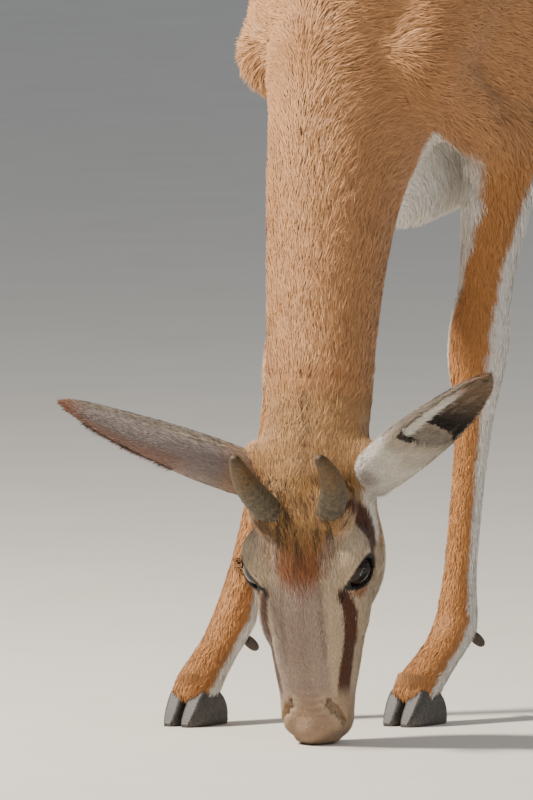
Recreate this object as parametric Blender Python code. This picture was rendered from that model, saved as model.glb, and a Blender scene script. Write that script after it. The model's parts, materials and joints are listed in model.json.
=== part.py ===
"""A young springbok, life size, grazing with its muzzle on the ground.

The animal faces -Y, its left side is +X and the ground is z = 0. Every form is shaped in millimetres
as a solid of oval sections along a curve, the forms are melted together like clay on a fine grid,
and the surface of that clay is cut into its parts by thin slits.
"""

import math
from itertools import permutations

import bmesh
import bpy
import numpy as np
from mathutils import Vector

# Driving dimensions, in millimetres and degrees.
GAP = 0.3
POLL = (83.0, -105.0, 217.6)
HEAD_HEADING = 19.0
HEAD_PITCH = 3.0
HEAD_ROLL = 1.5
EYE_RADIUS = 14.0
EYE_PLACE = (33.5, 24.5, 90.0)
EAR_LENGTH = 160.0
FORE_ELBOW_HEIGHT = 405.0
FETLOCK_HEIGHT = 76.0
ELBOW_Y = {"left": 163.0, "right": 133.0}
FETLOCK_Y = {"left": 101.0, "right": 4.0}
FETLOCK_DROP = {"left": 7.0, "right": 0.0}
HIND_SWING = {"left": 16.0, "right": -26.0}
CLAW_LENGTH = 46.0
CORONET_HEIGHT = 27.0
EAR_ROOT = (43.0, 6.0, 26.0)
EAR_WAY = {"left": (0.712, 0.569, -0.412), "right": (-0.759, 0.573, -0.309)}
EAR_HOLLOW = {"left": (0.17, 0.42, 0.89), "right": (-0.55, -0.31, 0.77)}
EAR_BEND = 9.0
EAR_OPENS = 0.3
HORN_BASE = (22.0, 40.0, 51.0)
HORN_RISE = (55.0, -42.0)
EAR_WALL = 2.4
NECK_SLIT = ((0.0, 26.0, 455.0), (0.0, -0.98, -0.19))
CHEST_BACK = 300.0
FLANK_BACK = 485.0
FORE_CUTS = (300, 92)
HIND_CUTS = (432, 318, 92)
TUFT_TOP = (0.0, 738.5, 478.0)
TUFT_LENGTH = 92.0
TUFT_LOCKS = 9
BODY_CELL = 4.0
HEAD_CELL = 1.5
EAR_CELL = 1.3
BODY_TRIANGLES = 5600
HEAD_TRIANGLES = 3300
EAR_TRIANGLES = 440
MM = 0.001
SIDES = {"left": 1.0, "right": -1.0}

# Oval sections along a form: the point, then the half width and the reach to either side of it.
# Trunk, from the breast to the buttocks: y, z, half width, rise to the back, drop to the belly.
TRUNK = (
    (30, 474, 34, 46, 38),
    (60, 494, 60, 90, 68),
    (100, 518, 74, 138, 98),
    (150, 530, 83, 168, 112),
    (210, 532, 90, 172, 130),
    (280, 533, 96, 167, 146),
    (360, 540, 100, 160, 146),
    (440, 556, 95, 152, 132),
    (510, 580, 86, 142, 110),
    (580, 604, 82, 124, 94),
    (645, 612, 72, 100, 84),
    (688, 606, 50, 60, 60),
)
# Brisket, the narrow keel between the forelegs.
KEEL = (
    (46, 436, 24, 40, 34),
    (85, 416, 26, 60, 50),
    (122, 410, 26, 60, 55),
    (165, 412, 30, 60, 51),
    (215, 420, 40, 60, 46),
    (280, 436, 55, 60, 52),
)
# Withers, the low ridge over the shoulder blades.
WITHERS = (
    (95, 640, 20, 26, 40),
    (135, 678, 22, 28, 50),
    (180, 688, 22, 26, 50),
    (240, 684, 20, 20, 40),
)
# Neck, from the skull to the breast: x, y, z, turn, half width, nape, throat.
NECK = (
    (80, -100, 206, 19, 33, 30, 30),
    (73, -87, 236, 19, 37, 36, 36),
    (56, -58, 290, 17, 39, 40, 42),
    (38, -26, 346, 13, 43, 46, 50),
    (20, 11, 402, 8, 49, 56, 60),
    (6, 54, 455, 3, 56, 74, 74),
    (0, 102, 508, 0, 60, 94, 88),
    (0, 150, 548, 0, 58, 108, 88),
)
# Shoulder blade with its muscle, from the withers to the point of the shoulder.
SHOULDER = (
    (36, 168, 662, 20, 34, 34),
    (52, 140, 615, 26, 48, 44),
    (60, 108, 560, 28, 50, 46),
    (62, 76, 512, 28, 40, 38),
    (62, 50, 484, 25, 28, 26),
)
# Foreleg below the elbow: height, half width, reach back, reach forward, offset back.
FORELEG = (
    (430, 25, 44, 38, 4),
    (405, 25, 40, 34, 2),
    (372, 23, 34, 30, 1),
    (340, 20.5, 28, 26, 0),
    (312, 20, 23, 22.5, -1),
    (290, 22.5, 21.5, 22, -3),
    (270, 23.5, 21.5, 22, -3),
    (250, 21, 19.5, 20, -2),
    (228, 16, 17, 16, -1),
    (190, 13, 14, 13, 0),
    (150, 12.3, 13, 12, 0),
    (112, 12.5, 13.5, 12, 0),
    (92, 14.5, 16, 14, 0),
    (76, 16, 17, 16, 0),
)
# Hind leg from the hip to the fetlock: x, y, z, half width, reach back, reach forward.
HINDLEG = (
    (48, 615, 600, 26, 56, 60),
    (54, 604, 545, 33, 72, 70),
    (59, 582, 492, 32, 68, 60),
    (60, 572, 452, 27, 52, 44),
    (58, 594, 410, 22, 36, 31),
    (57, 620, 366, 18, 27, 23),
    (57, 645, 326, 15.5, 23, 20),
    (57, 664, 296, 17, 24, 18),
    (57, 669, 272, 17.5, 21, 17),
    (58, 666, 244, 14.5, 16, 14),
    (59, 661, 205, 12.5, 13, 12.5),
    (60, 655, 150, 12, 12.5, 12),
    (61, 651, 112, 12.5, 13, 12),
    (61, 648, 92, 14.5, 15.5, 14),
    (61, 645, 76, 16, 17, 15.5),
)
# Pastern below any fetlock: step forward, height, half width, reach back, reach forward.
PASTERN = (
    (15, 58, 15, 15, 14),
    (32, 42, 15.5, 16, 15),
    (44, 30, 16.5, 18, 17),
    (51, 20, 17, 19, 18),
)
# Skull and flesh of the head, from the nose to the poll, in the head's own frame:
# distance from the poll, lift, half width, rise of the face, drop to the jaw.
SKULL = (
    (213, 1, 17, 13, 15),
    (206, 1, 23.5, 19, 18),
    (196, 1, 26.5, 23, 22),
    (181, 0, 27.5, 28, 26),
    (163, 0, 30.5, 34, 31),
    (145, 0, 33, 40, 37),
    (122, 0, 37, 45, 43),
    (98, 0, 42, 47, 48),
    (72, 0, 44, 46, 50),
    (45, -2, 43, 42, 46),
    (20, -4, 39, 35, 40),
    (0, -8, 34, 26, 32),
    (-14, -14, 26, 18, 24),
)
JAW = (
    (204, -15, 12, 10, 10),
    (180, -18, 14, 12, 11),
    (150, -26, 17, 16, 12),
    (118, -36, 21, 20, 14),
    (88, -42, 25, 26, 16),
    (66, -40, 27, 28, 14),
    (50, -32, 24, 24, 12),
)
# Ear, from its root to its tip: share of the length, half width, depth of the back.
EAR = (
    (0.00, 17, 15, 14),
    (0.10, 20, 16, 14),
    (0.28, 23, 16, 12),
    (0.48, 23.5, 14, 8),
    (0.68, 20.5, 10.5, 5),
    (0.85, 15, 7, 3.2),
    (0.95, 9, 4.2, 2.2),
    (1.00, 3.2, 2.2, 1.6),
)

# Horn from its sunken root to its tip: share of the length, radius.
HORN = (
    (-0.10, 8.6),
    (0.0, 10.2),
    (0.12, 10.4),
    (0.30, 10.2),
    (0.50, 9.3),
    (0.70, 7.6),
    (0.85, 5.9),
    (0.95, 4.4),
    (1.0, 2.6),
)
# Claw from the heel to the toe: share of the length, reach out, reach in, height.
CLAW = (
    (0.0, 5.0, 4.5, 14.0),
    (0.08, 7.2, 7.4, 40.0),
    (0.35, 8.6, 8.0, 40.0),
    (0.72, 7.6, 8.0, 40.0),
    (0.88, 5.0, 7.2, 17.0),
    (1.0, 1.4, 5.0, 4.0),
)
# Dewclaw from its sunken root to its tip: reach, radius.
DEWCLAW = ((0.0, 3.6), (6.0, 4.6), (12.0, 3.8), (16.0, 1.4))

COAT = {
    "tan": ((0.52, 0.27, 0.11), 0.75),
    "orange": ((0.50, 0.24, 0.08), 0.75),
    "white": ((0.78, 0.70, 0.60), 0.75),
    "face": ((0.62, 0.47, 0.33), 0.7),
    "ear": ((0.42, 0.33, 0.25), 0.75),
    "black": ((0.02, 0.015, 0.012), 0.6),
    "hoof": ((0.05, 0.05, 0.055), 0.45),
    "horn": ((0.11, 0.08, 0.05), 0.55),
    "eye": ((0.012, 0.008, 0.006), 0.06),
}


def unit(vector):
    """The vector at length one."""
    vector = np.asarray(vector, dtype=float)
    return vector / np.linalg.norm(vector)


def spline(rows, per_span):
    """Rows of numbers on a smooth curve through the given rows."""
    rows = np.asarray(rows, dtype=float)
    padded = np.vstack([2 * rows[0] - rows[1], rows, 2 * rows[-1] - rows[-2]])
    steps = np.arange(per_span)[:, None] / per_span
    out = []
    for i in range(len(rows) - 1):
        a, b, c, d = padded[i : i + 4]
        curve = 2 * b + (c - a) * steps + (2 * a - 5 * b + 4 * c - d) * steps**2
        curve = curve + (3 * b - a - 3 * c + d) * steps**3
        out.append(curve / 2)
    out.append(rows[-1:])
    return np.vstack(out)


class Form:
    """A solid of oval sections along a curve.

    Each row is x, y, z, the three parts of the sideways direction, the half width along it, and the
    reach before and behind, where before is sideways crossed with the way the rows run.
    """

    def __init__(self, rows, tip, per_span=3, power=2.0):
        self.rows = spline(rows, per_span) if len(rows) > 1 else np.asarray(rows, dtype=float)
        self.tip = tip
        self.power = power

    def moved(self, origin, axes):
        """The same form seen from a frame whose axes are the rows of a matrix."""
        other = Form(self.rows, self.tip, 1, self.power)
        other.rows = self.rows.copy()
        other.rows[:, :3] = (self.rows[:, :3] - origin) @ axes.T
        other.rows[:, 3:6] = self.rows[:, 3:6] @ axes.T
        return other

    def box(self):
        """Lowest and highest corner of a box around the form."""
        reach = np.max(self.rows[:, 6:9], axis=1)[:, None] + max(self.tip)
        return (self.rows[:, :3] - reach).min(axis=0), (self.rows[:, :3] + reach).max(axis=0)

    def distance(self, points):
        """Distance from the surface, less than zero inside, for an array of points."""
        centres = self.rows[:, :3]
        ways = np.gradient(centres, axis=0)
        ways = ways / np.linalg.norm(ways, axis=1)[:, None]
        nearest = np.full(len(points), np.inf, dtype=np.float32)
        along = np.zeros(len(points), dtype=np.float32)
        for i in range(len(centres) - 1):
            run = centres[i + 1] - centres[i]
            off = points - centres[i]
            share = np.clip(off @ run / (run @ run), 0, 1)
            gap = ((off - share[:, None] * run) ** 2).sum(axis=1)
            closer = gap < nearest
            nearest[closer] = gap[closer]
            along[closer] = i + share[closer]
        low = np.minimum(along.astype(int), len(centres) - 2)
        part = (along - low)[:, None]
        table = np.hstack([self.rows, ways])
        row = table[low] * (1 - part) + table[low + 1] * part
        off = points - row[:, :3]
        before = np.cross(row[:, 3:6], row[:, 9:12])
        side = np.abs((off * row[:, 3:6]).sum(axis=1)) / row[:, 6]
        lift = (off * before).sum(axis=1)
        lift = np.abs(lift) / np.where(lift > 0, row[:, 7], row[:, 8])
        end = np.where(along < 0.5 * (len(centres) - 1), self.tip[0], self.tip[1])
        beyond = (along <= 0) | (along >= len(centres) - 1)
        past = np.where(beyond, np.abs((off * row[:, 9:12]).sum(axis=1)) / end, 0)
        ratio = (side**self.power + lift**self.power + past**self.power) ** (1 / self.power)
        reach = np.sqrt((off**2).sum(axis=1)) + 1e-6
        return reach - reach / np.maximum(ratio, 1e-6)


class Ball:
    """An egg with its half sizes along three axes, the rows of a matrix."""

    def __init__(self, centre, sizes, axes=None):
        self.centre = np.asarray(centre, dtype=float)
        self.sizes = np.asarray(sizes, dtype=float)
        self.axes = np.eye(3) if axes is None else axes

    def moved(self, origin, axes):
        return Ball((self.centre - origin) @ axes.T, self.sizes, self.axes @ axes.T)

    def box(self):
        return self.centre - self.sizes.max(), self.centre + self.sizes.max()

    def distance(self, points):
        off = (points - self.centre) @ self.axes.T
        reach = np.sqrt((off**2).sum(axis=1)) + 1e-6
        ratio = np.sqrt(((off / self.sizes) ** 2).sum(axis=1))
        return reach - reach / np.maximum(ratio, 1e-6)


class Clay:
    """A block of grid points that holds the distance to the surface of what is added to it."""

    def __init__(self, low, high, cell):
        self.low = np.asarray(low, dtype=float)
        self.cell = cell
        self.shape = np.ceil((np.asarray(high) - self.low) / cell).astype(int) + 1
        self.field = np.full(self.shape, 60.0, dtype=np.float32)

    def part(self, form, blend):
        """The slices that a form reaches, and its distance there."""
        low, high = form.box()
        room = blend + 3 * self.cell
        first = np.clip(np.floor((low - room - self.low) / self.cell).astype(int), 0, self.shape)
        last = np.clip(np.ceil((high + room - self.low) / self.cell).astype(int) + 1, 0, self.shape)
        where = tuple(slice(a, b) for a, b in zip(first, last))
        if any(b <= a for a, b in zip(first, last)):
            return where, None
        lines = [self.low[i] + self.cell * np.arange(first[i], last[i]) for i in range(3)]
        points = np.stack(np.meshgrid(*lines, indexing="ij"), axis=-1).reshape(-1, 3)
        return where, form.distance(points).reshape(last - first)

    def add(self, form, blend):
        """Melt a form on."""
        where, other = self.part(form, blend)
        if other is not None:
            mine = self.field[where]
            mix = np.clip(0.5 + 0.5 * (other - mine) / blend, 0, 1)
            self.field[where] = other * (1 - mix) + mine * mix - blend * mix * (1 - mix)

    def cut(self, form, blend):
        """Carve a form out."""
        where, other = self.part(form, blend)
        if other is not None:
            mine = self.field[where]
            mix = np.clip(0.5 - 0.5 * (-other - mine) / blend, 0, 1)
            self.field[where] = -other * (1 - mix) + mine * mix + blend * mix * (1 - mix)

    def surface(self):
        """Points and triangles of the surface: each cell that it crosses is split into six
        four-cornered wedges round its diagonal, and each wedge is cut flat."""
        for axis in range(3):
            for edge in (0, -1):
                self.field[(slice(None),) * axis + (edge,)] = self.cell
        inside = self.field < 0
        size = np.array(self.shape) - 1
        corners = [np.array((i, j, k)) for i in (0, 1) for j in (0, 1) for k in (0, 1)]
        count = np.zeros(size, dtype=np.int8)
        for c in corners:
            count += inside[c[0] : c[0] + size[0], c[1] : c[1] + size[1], c[2] : c[2] + size[2]]
        cells = np.argwhere((count > 0) & (count < 8))
        step = np.array((self.shape[1] * self.shape[2], self.shape[2], 1))
        flat = self.field.ravel()
        pairs = []
        for order in permutations(range(3)):
            one, two, _ = np.eye(3, dtype=int)[list(order)]
            wedge = np.array([np.zeros(3, dtype=int), one, one + two, (1, 1, 1)])
            nodes = (cells @ step)[:, None] + wedge @ step
            pairs += cut_wedges(nodes, flat[nodes] < 0)
        pairs = np.concatenate(pairs)
        keys = pairs[..., 0] * len(flat) + pairs[..., 1]
        keys, triangles = np.unique(keys.ravel(), return_inverse=True)
        inner, outer = np.divmod(keys, len(flat))
        share = flat[inner] / (flat[inner] - flat[outer])
        share = np.clip(share, 0.04, 0.96)[:, None]
        place = [np.stack(np.unravel_index(n, self.shape), axis=1) for n in (inner, outer)]
        points = place[0] * (1 - share) + place[1] * share
        triangles = triangles.reshape(-1, 3)
        a, b, c = (points[triangles[:, k]] for k in range(3))
        way = (place[1] - place[0])[triangles[:, 0]]
        way = way + (place[1] - place[0])[triangles[:, 1]] + (place[1] - place[0])[triangles[:, 2]]
        wrong = (np.cross(b - a, c - a) * way).sum(axis=1) < 0
        triangles[wrong] = triangles[wrong][:, ::-1]
        return self.low + self.cell * points, triangles


def cut_wedges(nodes, inside):
    """The triangles of the surface in wedges of four grid points, each corner as a pair of an inner
    and an outer grid point."""
    found = []
    for pattern in range(1, 15):
        flags = [bool(pattern >> k & 1) for k in range(4)]
        chosen = nodes[(inside == flags).all(axis=1)]
        inner = [k for k in range(4) if flags[k]]
        outer = [k for k in range(4) if not flags[k]]
        edges = [(i, o) for i in inner for o in outer]
        if len(edges) == 3:
            shapes = [edges]
        else:
            shapes = [(edges[0], edges[1], edges[3]), (edges[0], edges[3], edges[2])]
        for shape in shapes:
            found.append(np.stack([chosen[:, list(edge)] for edge in shape], axis=1))
    return found


def frame_of_head():
    """Origin of the head at the poll, and its axes: left, out of the face, and towards the nose."""
    heading = math.radians(HEAD_HEADING)
    pitch = math.radians(HEAD_PITCH)
    roll = math.radians(HEAD_ROLL)
    ahead = np.array((math.sin(heading), -math.cos(heading), 0.0))
    left = np.array((math.cos(heading), math.sin(heading), 0.0))
    up = np.array((0.0, 0.0, 1.0))
    face = ahead * math.cos(pitch) + up * math.sin(pitch)
    nose = ahead * math.sin(pitch) - up * math.cos(pitch)
    return np.array(POLL), np.array(
        (
            left * math.cos(roll) - nose * math.sin(roll),
            face,
            nose * math.cos(roll) + left * math.sin(roll),
        )
    )


def level_rows(rows):
    """Rows of y, z, half width, up and down, as sections of a form on the middle plane."""
    return [(0, y, z, 1, 0, 0, w, up, down) for y, z, w, up, down in rows]


def neck_form():
    rows = []
    for x, y, z, turn, w, nape, throat in NECK:
        angle = math.radians(turn)
        rows.append((x, y, z, math.cos(angle), math.sin(angle), 0, w, nape, throat))
    return Form(rows, (20, 30), 6)


def foreleg_form(side):
    """One foreleg, straight from the elbow to the fetlock, with its pastern."""
    sign = SIDES[side]
    slope = (ELBOW_Y[side] - FETLOCK_Y[side]) / (FORE_ELBOW_HEIGHT - FETLOCK_HEIGHT)
    low = 1 - FETLOCK_DROP[side] / FETLOCK_HEIGHT
    rows = []
    for z, w, back, front, offset in FORELEG:
        y = FETLOCK_Y[side] + (z - FETLOCK_HEIGHT) * slope + offset
        x = sign * (64 - 6 * (z - FETLOCK_HEIGHT) / FORE_ELBOW_HEIGHT)
        z -= FETLOCK_DROP[side] * min(1.0, max(0.0, (170 - z) / (170 - FETLOCK_HEIGHT)))
        rows.append((x, y, z, 1, 0, 0, w, back, front))
    for step, z, w, back, front in PASTERN:
        ahead = step * (2 - low)
        rows.append((sign * 65, FETLOCK_Y[side] - ahead, z * low, 1, 0, 0, w, back, front))
    return Form(rows, (20, 8), 2)


def hindleg_form(side):
    """One hind leg with its pastern, swung a little forward or back from the hip."""
    sign = SIDES[side]
    rows = []
    for x, y, z, w, back, front in HINDLEG:
        y += HIND_SWING[side] * (1 - z / HINDLEG[0][2])
        rows.append((sign * x, y, z, 1, 0, 0, w, back, front))
    fetlock = rows[-1][1]
    for step, z, w, back, front in PASTERN:
        rows.append((sign * 62, fetlock - step, z, 1, 0, 0, w, back, front))
    return Form(rows, (24, 8), 2)


def tail_form():
    rows = (
        (0, 680, 668, 1, 0, 0, 15, 13, 14),
        (0, 708, 660, 1, 0, 0, 13, 11, 12),
        (0, 728, 636, 1, 0, 0, 10, 9, 9),
        (0, 735, 600, 1, 0, 0, 8.5, 7.5, 7.5),
        (0, 738, 550, 1, 0, 0, 7.5, 6.5, 6.5),
        (0, 739, 500, 1, 0, 0, 6.5, 6, 6),
        (0, 738, 462, 1, 0, 0, 5.5, 5, 5),
    )
    return Form(rows, (10, 5), 3)


def body_forms():
    """Every form of the body, each with how softly it melts into the rest."""
    forms = [
        (Form(level_rows(TRUNK), (26, 22), 9, 2.2), 10),
        (Form(level_rows(KEEL), (14, 30), 2), 26),
        (Form(level_rows(WITHERS), (20, 30), 2), 26),
        (neck_form(), 30),
    ]
    for side, sign in SIDES.items():
        shoulder = [(sign * x, y, z, 1, 0, 0, w, b, f) for x, y, z, w, b, f in SHOULDER]
        forms.append((Form(shoulder, (24, 20), 3), 22))
        elbow = (sign * 58, ELBOW_Y[side] + 12, 412)
        upper = [
            (sign * 62, 52, 482, 1, 0, 0, 23, 26, 24),
            (sign * 60, 60 + 0.5 * (ELBOW_Y[side] - 60), 446, 1, 0, 0, 24, 27, 26),
            (*elbow, 1, 0, 0, 22, 26, 26),
        ]
        forms.append((Form(upper, (14, 14), 3), 16))
        triceps = [
            (sign * 52, 176, 590, 1, 0, 0, 20, 30, 34),
            (sign * 58, 172, 530, 1, 0, 0, 25, 38, 44),
            (sign * 58, ELBOW_Y[side] + 14, 470, 1, 0, 0, 24, 34, 42),
            (*elbow, 1, 0, 0, 20, 24, 26),
        ]
        forms.append((Form(triceps, (18, 14), 3), 20))
        forms.append((foreleg_form(side), 12))
        forms.append((hindleg_form(side), 24))
        swing = HIND_SWING[side] * 0.4
        tendon = [
            (sign * 57, 612 + swing, 440, 1, 0, 0, 8, 8, 14),
            (sign * 57, 633 + swing, 398, 1, 0, 0, 7, 8, 12),
            (sign * 57, 658 + swing, 352, 1, 0, 0, 6, 7, 9),
            (sign * 57, 679 + swing * 1.2, 313, 1, 0, 0, 7.5, 6.5, 8),
            (sign * 57, 682 + swing * 1.3, 296, 1, 0, 0, 8, 6, 10),
        ]
        forms.append((Form(tendon, (8, 8), 3), 9))
        buttock = [
            (sign * 40, 655, 610, 1, 0, 0, 30, 44, 40),
            (sign * 48, 662, 560, 1, 0, 0, 30, 44, 40),
            (sign * 54, 648, 505, 1, 0, 0, 26, 34, 40),
        ]
        forms.append((Form(buttock, (20, 24), 3), 22))
    forms.append((tail_form(), 7))
    return forms


def head_forms():
    """Forms of the head in its own frame: left, out of the face, towards the nose."""
    skull = [(0, lift, t, 1, 0, 0, w, up, down) for t, lift, w, up, down in SKULL]
    jaw = [(0, lift, t, 1, 0, 0, w, up, down) for t, lift, w, up, down in JAW]
    forms = [(Form(skull, (6, 10), 3, 2.15), 8), (Form(jaw, (7, 12), 3), 10)]
    for sign in SIDES.values():
        forms.append((Ball((sign * 27, -20, 84), (17, 26, 32)), 12))
        forms.append((Ball((sign * 36, 26, 84), (13, 15, 20)), 9))
        forms.append((Ball((sign * 30, 8, 118), (10, 16, 26)), 9))
        forms.append((Ball((sign * 25, 36, 52), (13, 13, 14)), 9))
        forms.append((Ball((sign * 38, 3, 21), (18, 19, 19)), 12))
        forms.append((Ball((sign * 14, 11, 199), (9, 10, 11)), 5))
        forms.append((Ball((sign * 14, -6, 201), (10, 8, 12)), 5))
    forms.append((Ball((0, 12, 207), (13, 13, 11)), 6))
    forms.append((Ball((0, -20, 201), (13, 9, 13)), 5))
    return forms


def eye_axes(sign):
    """Axes of an eye: along the lids, across them, and out of the pupil."""
    out = unit((sign * 0.80, 0.46, 0.38))
    along = unit(np.cross((sign * 0.45, 0.9, 0.1), out)) * sign
    return np.array((along, np.cross(out, along), out))


def mirrored(place, sign):
    return np.array((sign * place[0], place[1], place[2]))


def carve_face(clay):
    """Lids, eye sockets, nostrils and the line of the mouth."""
    for sign in SIDES.values():
        eye = mirrored(EYE_PLACE, sign)
        axes = eye_axes(sign)
        clay.add(Ball(eye, [EYE_RADIUS + 2.8] * 3), 5)
        opening = Ball(eye + axes[2] * 15, (12.5, 8.0, 12), axes)
        clay.cut(opening, 1.0)
        nostril = [
            (sign * 21, 18, 190, 1, 0, 0, 1.8, 1.8, 1.8),
            (sign * 24.5, 13.5, 196, 1, 0, 0, 2.4, 2.4, 2.4),
            (sign * 25, 8, 203.5, 1, 0, 0, 2.0, 2.0, 2.0),
        ]
        clay.cut(Form(nostril, (2, 2), 4), 1.5)
        mouth = [
            (sign * 29, -13, 166, 1, 0, 0, 2.2, 1.0, 1.0),
            (sign * 27, -12, 182, 1, 0, 0, 2.4, 1.2, 1.2),
            (sign * 24, -12, 198, 1, 0, 0, 2.4, 1.3, 1.3),
            (sign * 15, -12, 211, 1, 0, 0, 2.4, 1.3, 1.3),
        ]
        clay.cut(Form(mouth, (2, 2), 4), 1.5)


def mesh_object(name, points, faces, look):
    """A mesh object in metres from points in millimetres."""
    mesh = bpy.data.meshes.new(name)
    faces = faces.tolist() if isinstance(faces, np.ndarray) else faces
    mesh.from_pydata((np.asarray(points) * MM).tolist(), [], faces)
    mesh.update()
    thing = bpy.data.objects.new(name, mesh)
    bpy.context.scene.collection.objects.link(thing)
    thing.data.materials.append(material(look))
    return thing


def material(look):
    """The material of a named coat or horn."""
    known = bpy.data.materials.get(look)
    if known:
        return known
    made = bpy.data.materials.new(look)
    made.use_nodes = True
    shader = made.node_tree.nodes["Principled BSDF"]
    colour, rough = COAT[look]
    shader.inputs["Base Color"].default_value = (*colour, 1.0)
    shader.inputs["Roughness"].default_value = rough
    shader.inputs["Metallic"].default_value = 0.0
    return made


def settle(thing):
    """Turn the object's modifiers into its mesh."""
    graph = bpy.context.evaluated_depsgraph_get()
    done = bpy.data.meshes.new_from_object(thing.evaluated_get(graph))
    thing.modifiers.clear()
    thing.data = done


def thin_out(thing, triangles):
    """Collapse edges until the mesh has about the given number of triangles."""
    now = sum(len(face.vertices) - 2 for face in thing.data.polygons)
    step = thing.modifiers.new("thin", "DECIMATE")
    step.ratio = min(1.0, triangles / now)
    step.use_collapse_triangulate = True
    settle(thing)


def join(thing, pieces):
    """Join closed pieces to an object by one Boolean on their collection."""
    group = bpy.data.collections.new("pieces")
    for piece in pieces:
        group.objects.link(piece)
    step = thing.modifiers.new("join", "BOOLEAN")
    step.operand_type = "COLLECTION"
    step.collection = group
    step.operation = "UNION"
    step.solver = "EXACT"
    settle(thing)
    for piece in pieces:
        bpy.data.objects.remove(piece)
    bpy.data.collections.remove(group)


def boolean(thing, other, operation):
    """Join, cut or keep by another object, which is then removed."""
    step = thing.modifiers.new("shape", "BOOLEAN")
    step.object = other
    step.operation = operation
    step.solver = "EXACT"
    settle(thing)
    bpy.data.objects.remove(other)


def islands(thing):
    """The closed surfaces of a mesh, each as a list of its faces."""
    bm = bmesh.new()
    bm.from_mesh(thing.data)
    seen = set()
    groups = []
    for face in bm.faces:
        if face.index in seen:
            continue
        group = []
        stack = [face]
        seen.add(face.index)
        while stack:
            one = stack.pop()
            group.append(one.index)
            for edge in one.edges:
                for near in edge.link_faces:
                    if near.index not in seen:
                        seen.add(near.index)
                        stack.append(near)
        groups.append(group)
    bm.free()
    return groups


def island_mesh(thing, group):
    """Points in millimetres and faces of one closed surface."""
    used = {}
    faces = []
    for index in group:
        face = []
        for vertex in thing.data.polygons[index].vertices:
            face.append(used.setdefault(vertex, len(used)))
        faces.append(face)
    points = [np.array(thing.data.vertices[v].co) / MM for v in used]
    return np.array(points), faces


def signed_volume(points, faces):
    total = 0.0
    points = np.asarray(points)
    for face in faces:
        for i in range(1, len(face) - 1):
            a, b, c = points[face[0]], points[face[i]], points[face[i + 1]]
            total += float(np.dot(a, np.cross(b, c))) / 6
    return total


def keep_largest(thing):
    """Leave only the closed surface that holds the most."""
    best = max(
        (island_mesh(thing, group) for group in islands(thing)),
        key=lambda made: signed_volume(*made),
    )
    mesh = bpy.data.meshes.new(thing.name)
    mesh.from_pydata((best[0] * MM).tolist(), [], best[1])
    for slot in thing.data.materials:
        mesh.materials.append(slot)
    thing.data = mesh


def block(centre, axes, sizes):
    """A box in millimetres: centre, three axes as rows, and full sizes along them."""
    centre = np.asarray(centre, dtype=float)
    points = []
    for i in (-0.5, 0.5):
        for j in (-0.5, 0.5):
            for k in (-0.5, 0.5):
                points.append(centre + np.array((i, j, k)) * sizes @ np.asarray(axes))
    faces = ((0, 1, 3, 2), (4, 6, 7, 5), (0, 4, 5, 1), (2, 3, 7, 6), (0, 2, 6, 4), (1, 5, 7, 3))
    return points, faces


def slit(centre, normal, across, deep, along=(0.0, 1.0, 0.0)):
    """A thin cutter: a box as thick as the gap, square to its normal."""
    normal = unit(normal)
    along = unit(np.asarray(along) - normal * np.dot(along, normal))
    return block(centre, (np.cross(along, normal), along, normal), (across, deep, GAP))


def cutter_object(pieces):
    """One mesh from several boxes that don't touch."""
    points = []
    faces = []
    for some_points, some_faces in pieces:
        start = len(points)
        points.extend(some_points)
        faces.extend([[start + i for i in face] for face in some_faces])
    thing = mesh_object("cutter", points, faces, "tan")
    bm = bmesh.new()
    bm.from_mesh(thing.data)
    bmesh.ops.recalc_face_normals(bm, faces=bm.faces)
    bm.to_mesh(thing.data)
    bm.free()
    thing.hide_render = True
    thing.display_type = "WIRE"
    return thing


def neck_cut():
    """Point and direction of the cut between head and neck."""
    upper = np.array(NECK[1][:3], dtype=float)
    lower = np.array(NECK[2][:3], dtype=float)
    return upper + 0.4 * (lower - upper), unit(upper - lower)


def cross_slits():
    """Slits square to the neck, the trunk, the tail and the legs."""
    cuts = []
    way = np.array(NECK[2][:3], dtype=float) - np.array(NECK[4][:3], dtype=float)
    cuts.append(slit(NECK[3][:3], way, 150, 170))
    cuts.append(slit(*NECK_SLIT, 190, 230, (0, 0, 1)))
    cuts.append(slit((0, CHEST_BACK, 560), (0, 1, 0), 300, 500, (0, 0, 1)))
    cuts.append(slit((0, FLANK_BACK, 600), (0, 1, 0), 300, 400, (0, 0, 1)))
    cuts.append(slit((0, 717, 652), (0, 1, -0.06), 60, 90, (0, 0, 1)))
    cuts.append(slit(TUFT_TOP + np.array((0, 0, GAP)), (0, 0, 1), 40, 40))
    for side in SIDES:
        fore = foreleg_form(side).rows
        hind = hindleg_form(side).rows
        for rows, heights in ((fore, FORE_CUTS), (hind, HIND_CUTS)):
            for height in heights:
                i = int(np.argmin(np.abs(rows[:, 2] - height)))
                way = rows[i + 1, :3] - rows[i - 1, :3]
                cuts.append(slit(rows[i, :3], way, 100, 120))
    return cuts


def neck_front(z):
    """How far forward the chest reaches at a height, where the slit of the neck parts it."""
    point, normal = NECK_SLIT
    return point[1] - (z - point[2]) * normal[2] / normal[1]


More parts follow.
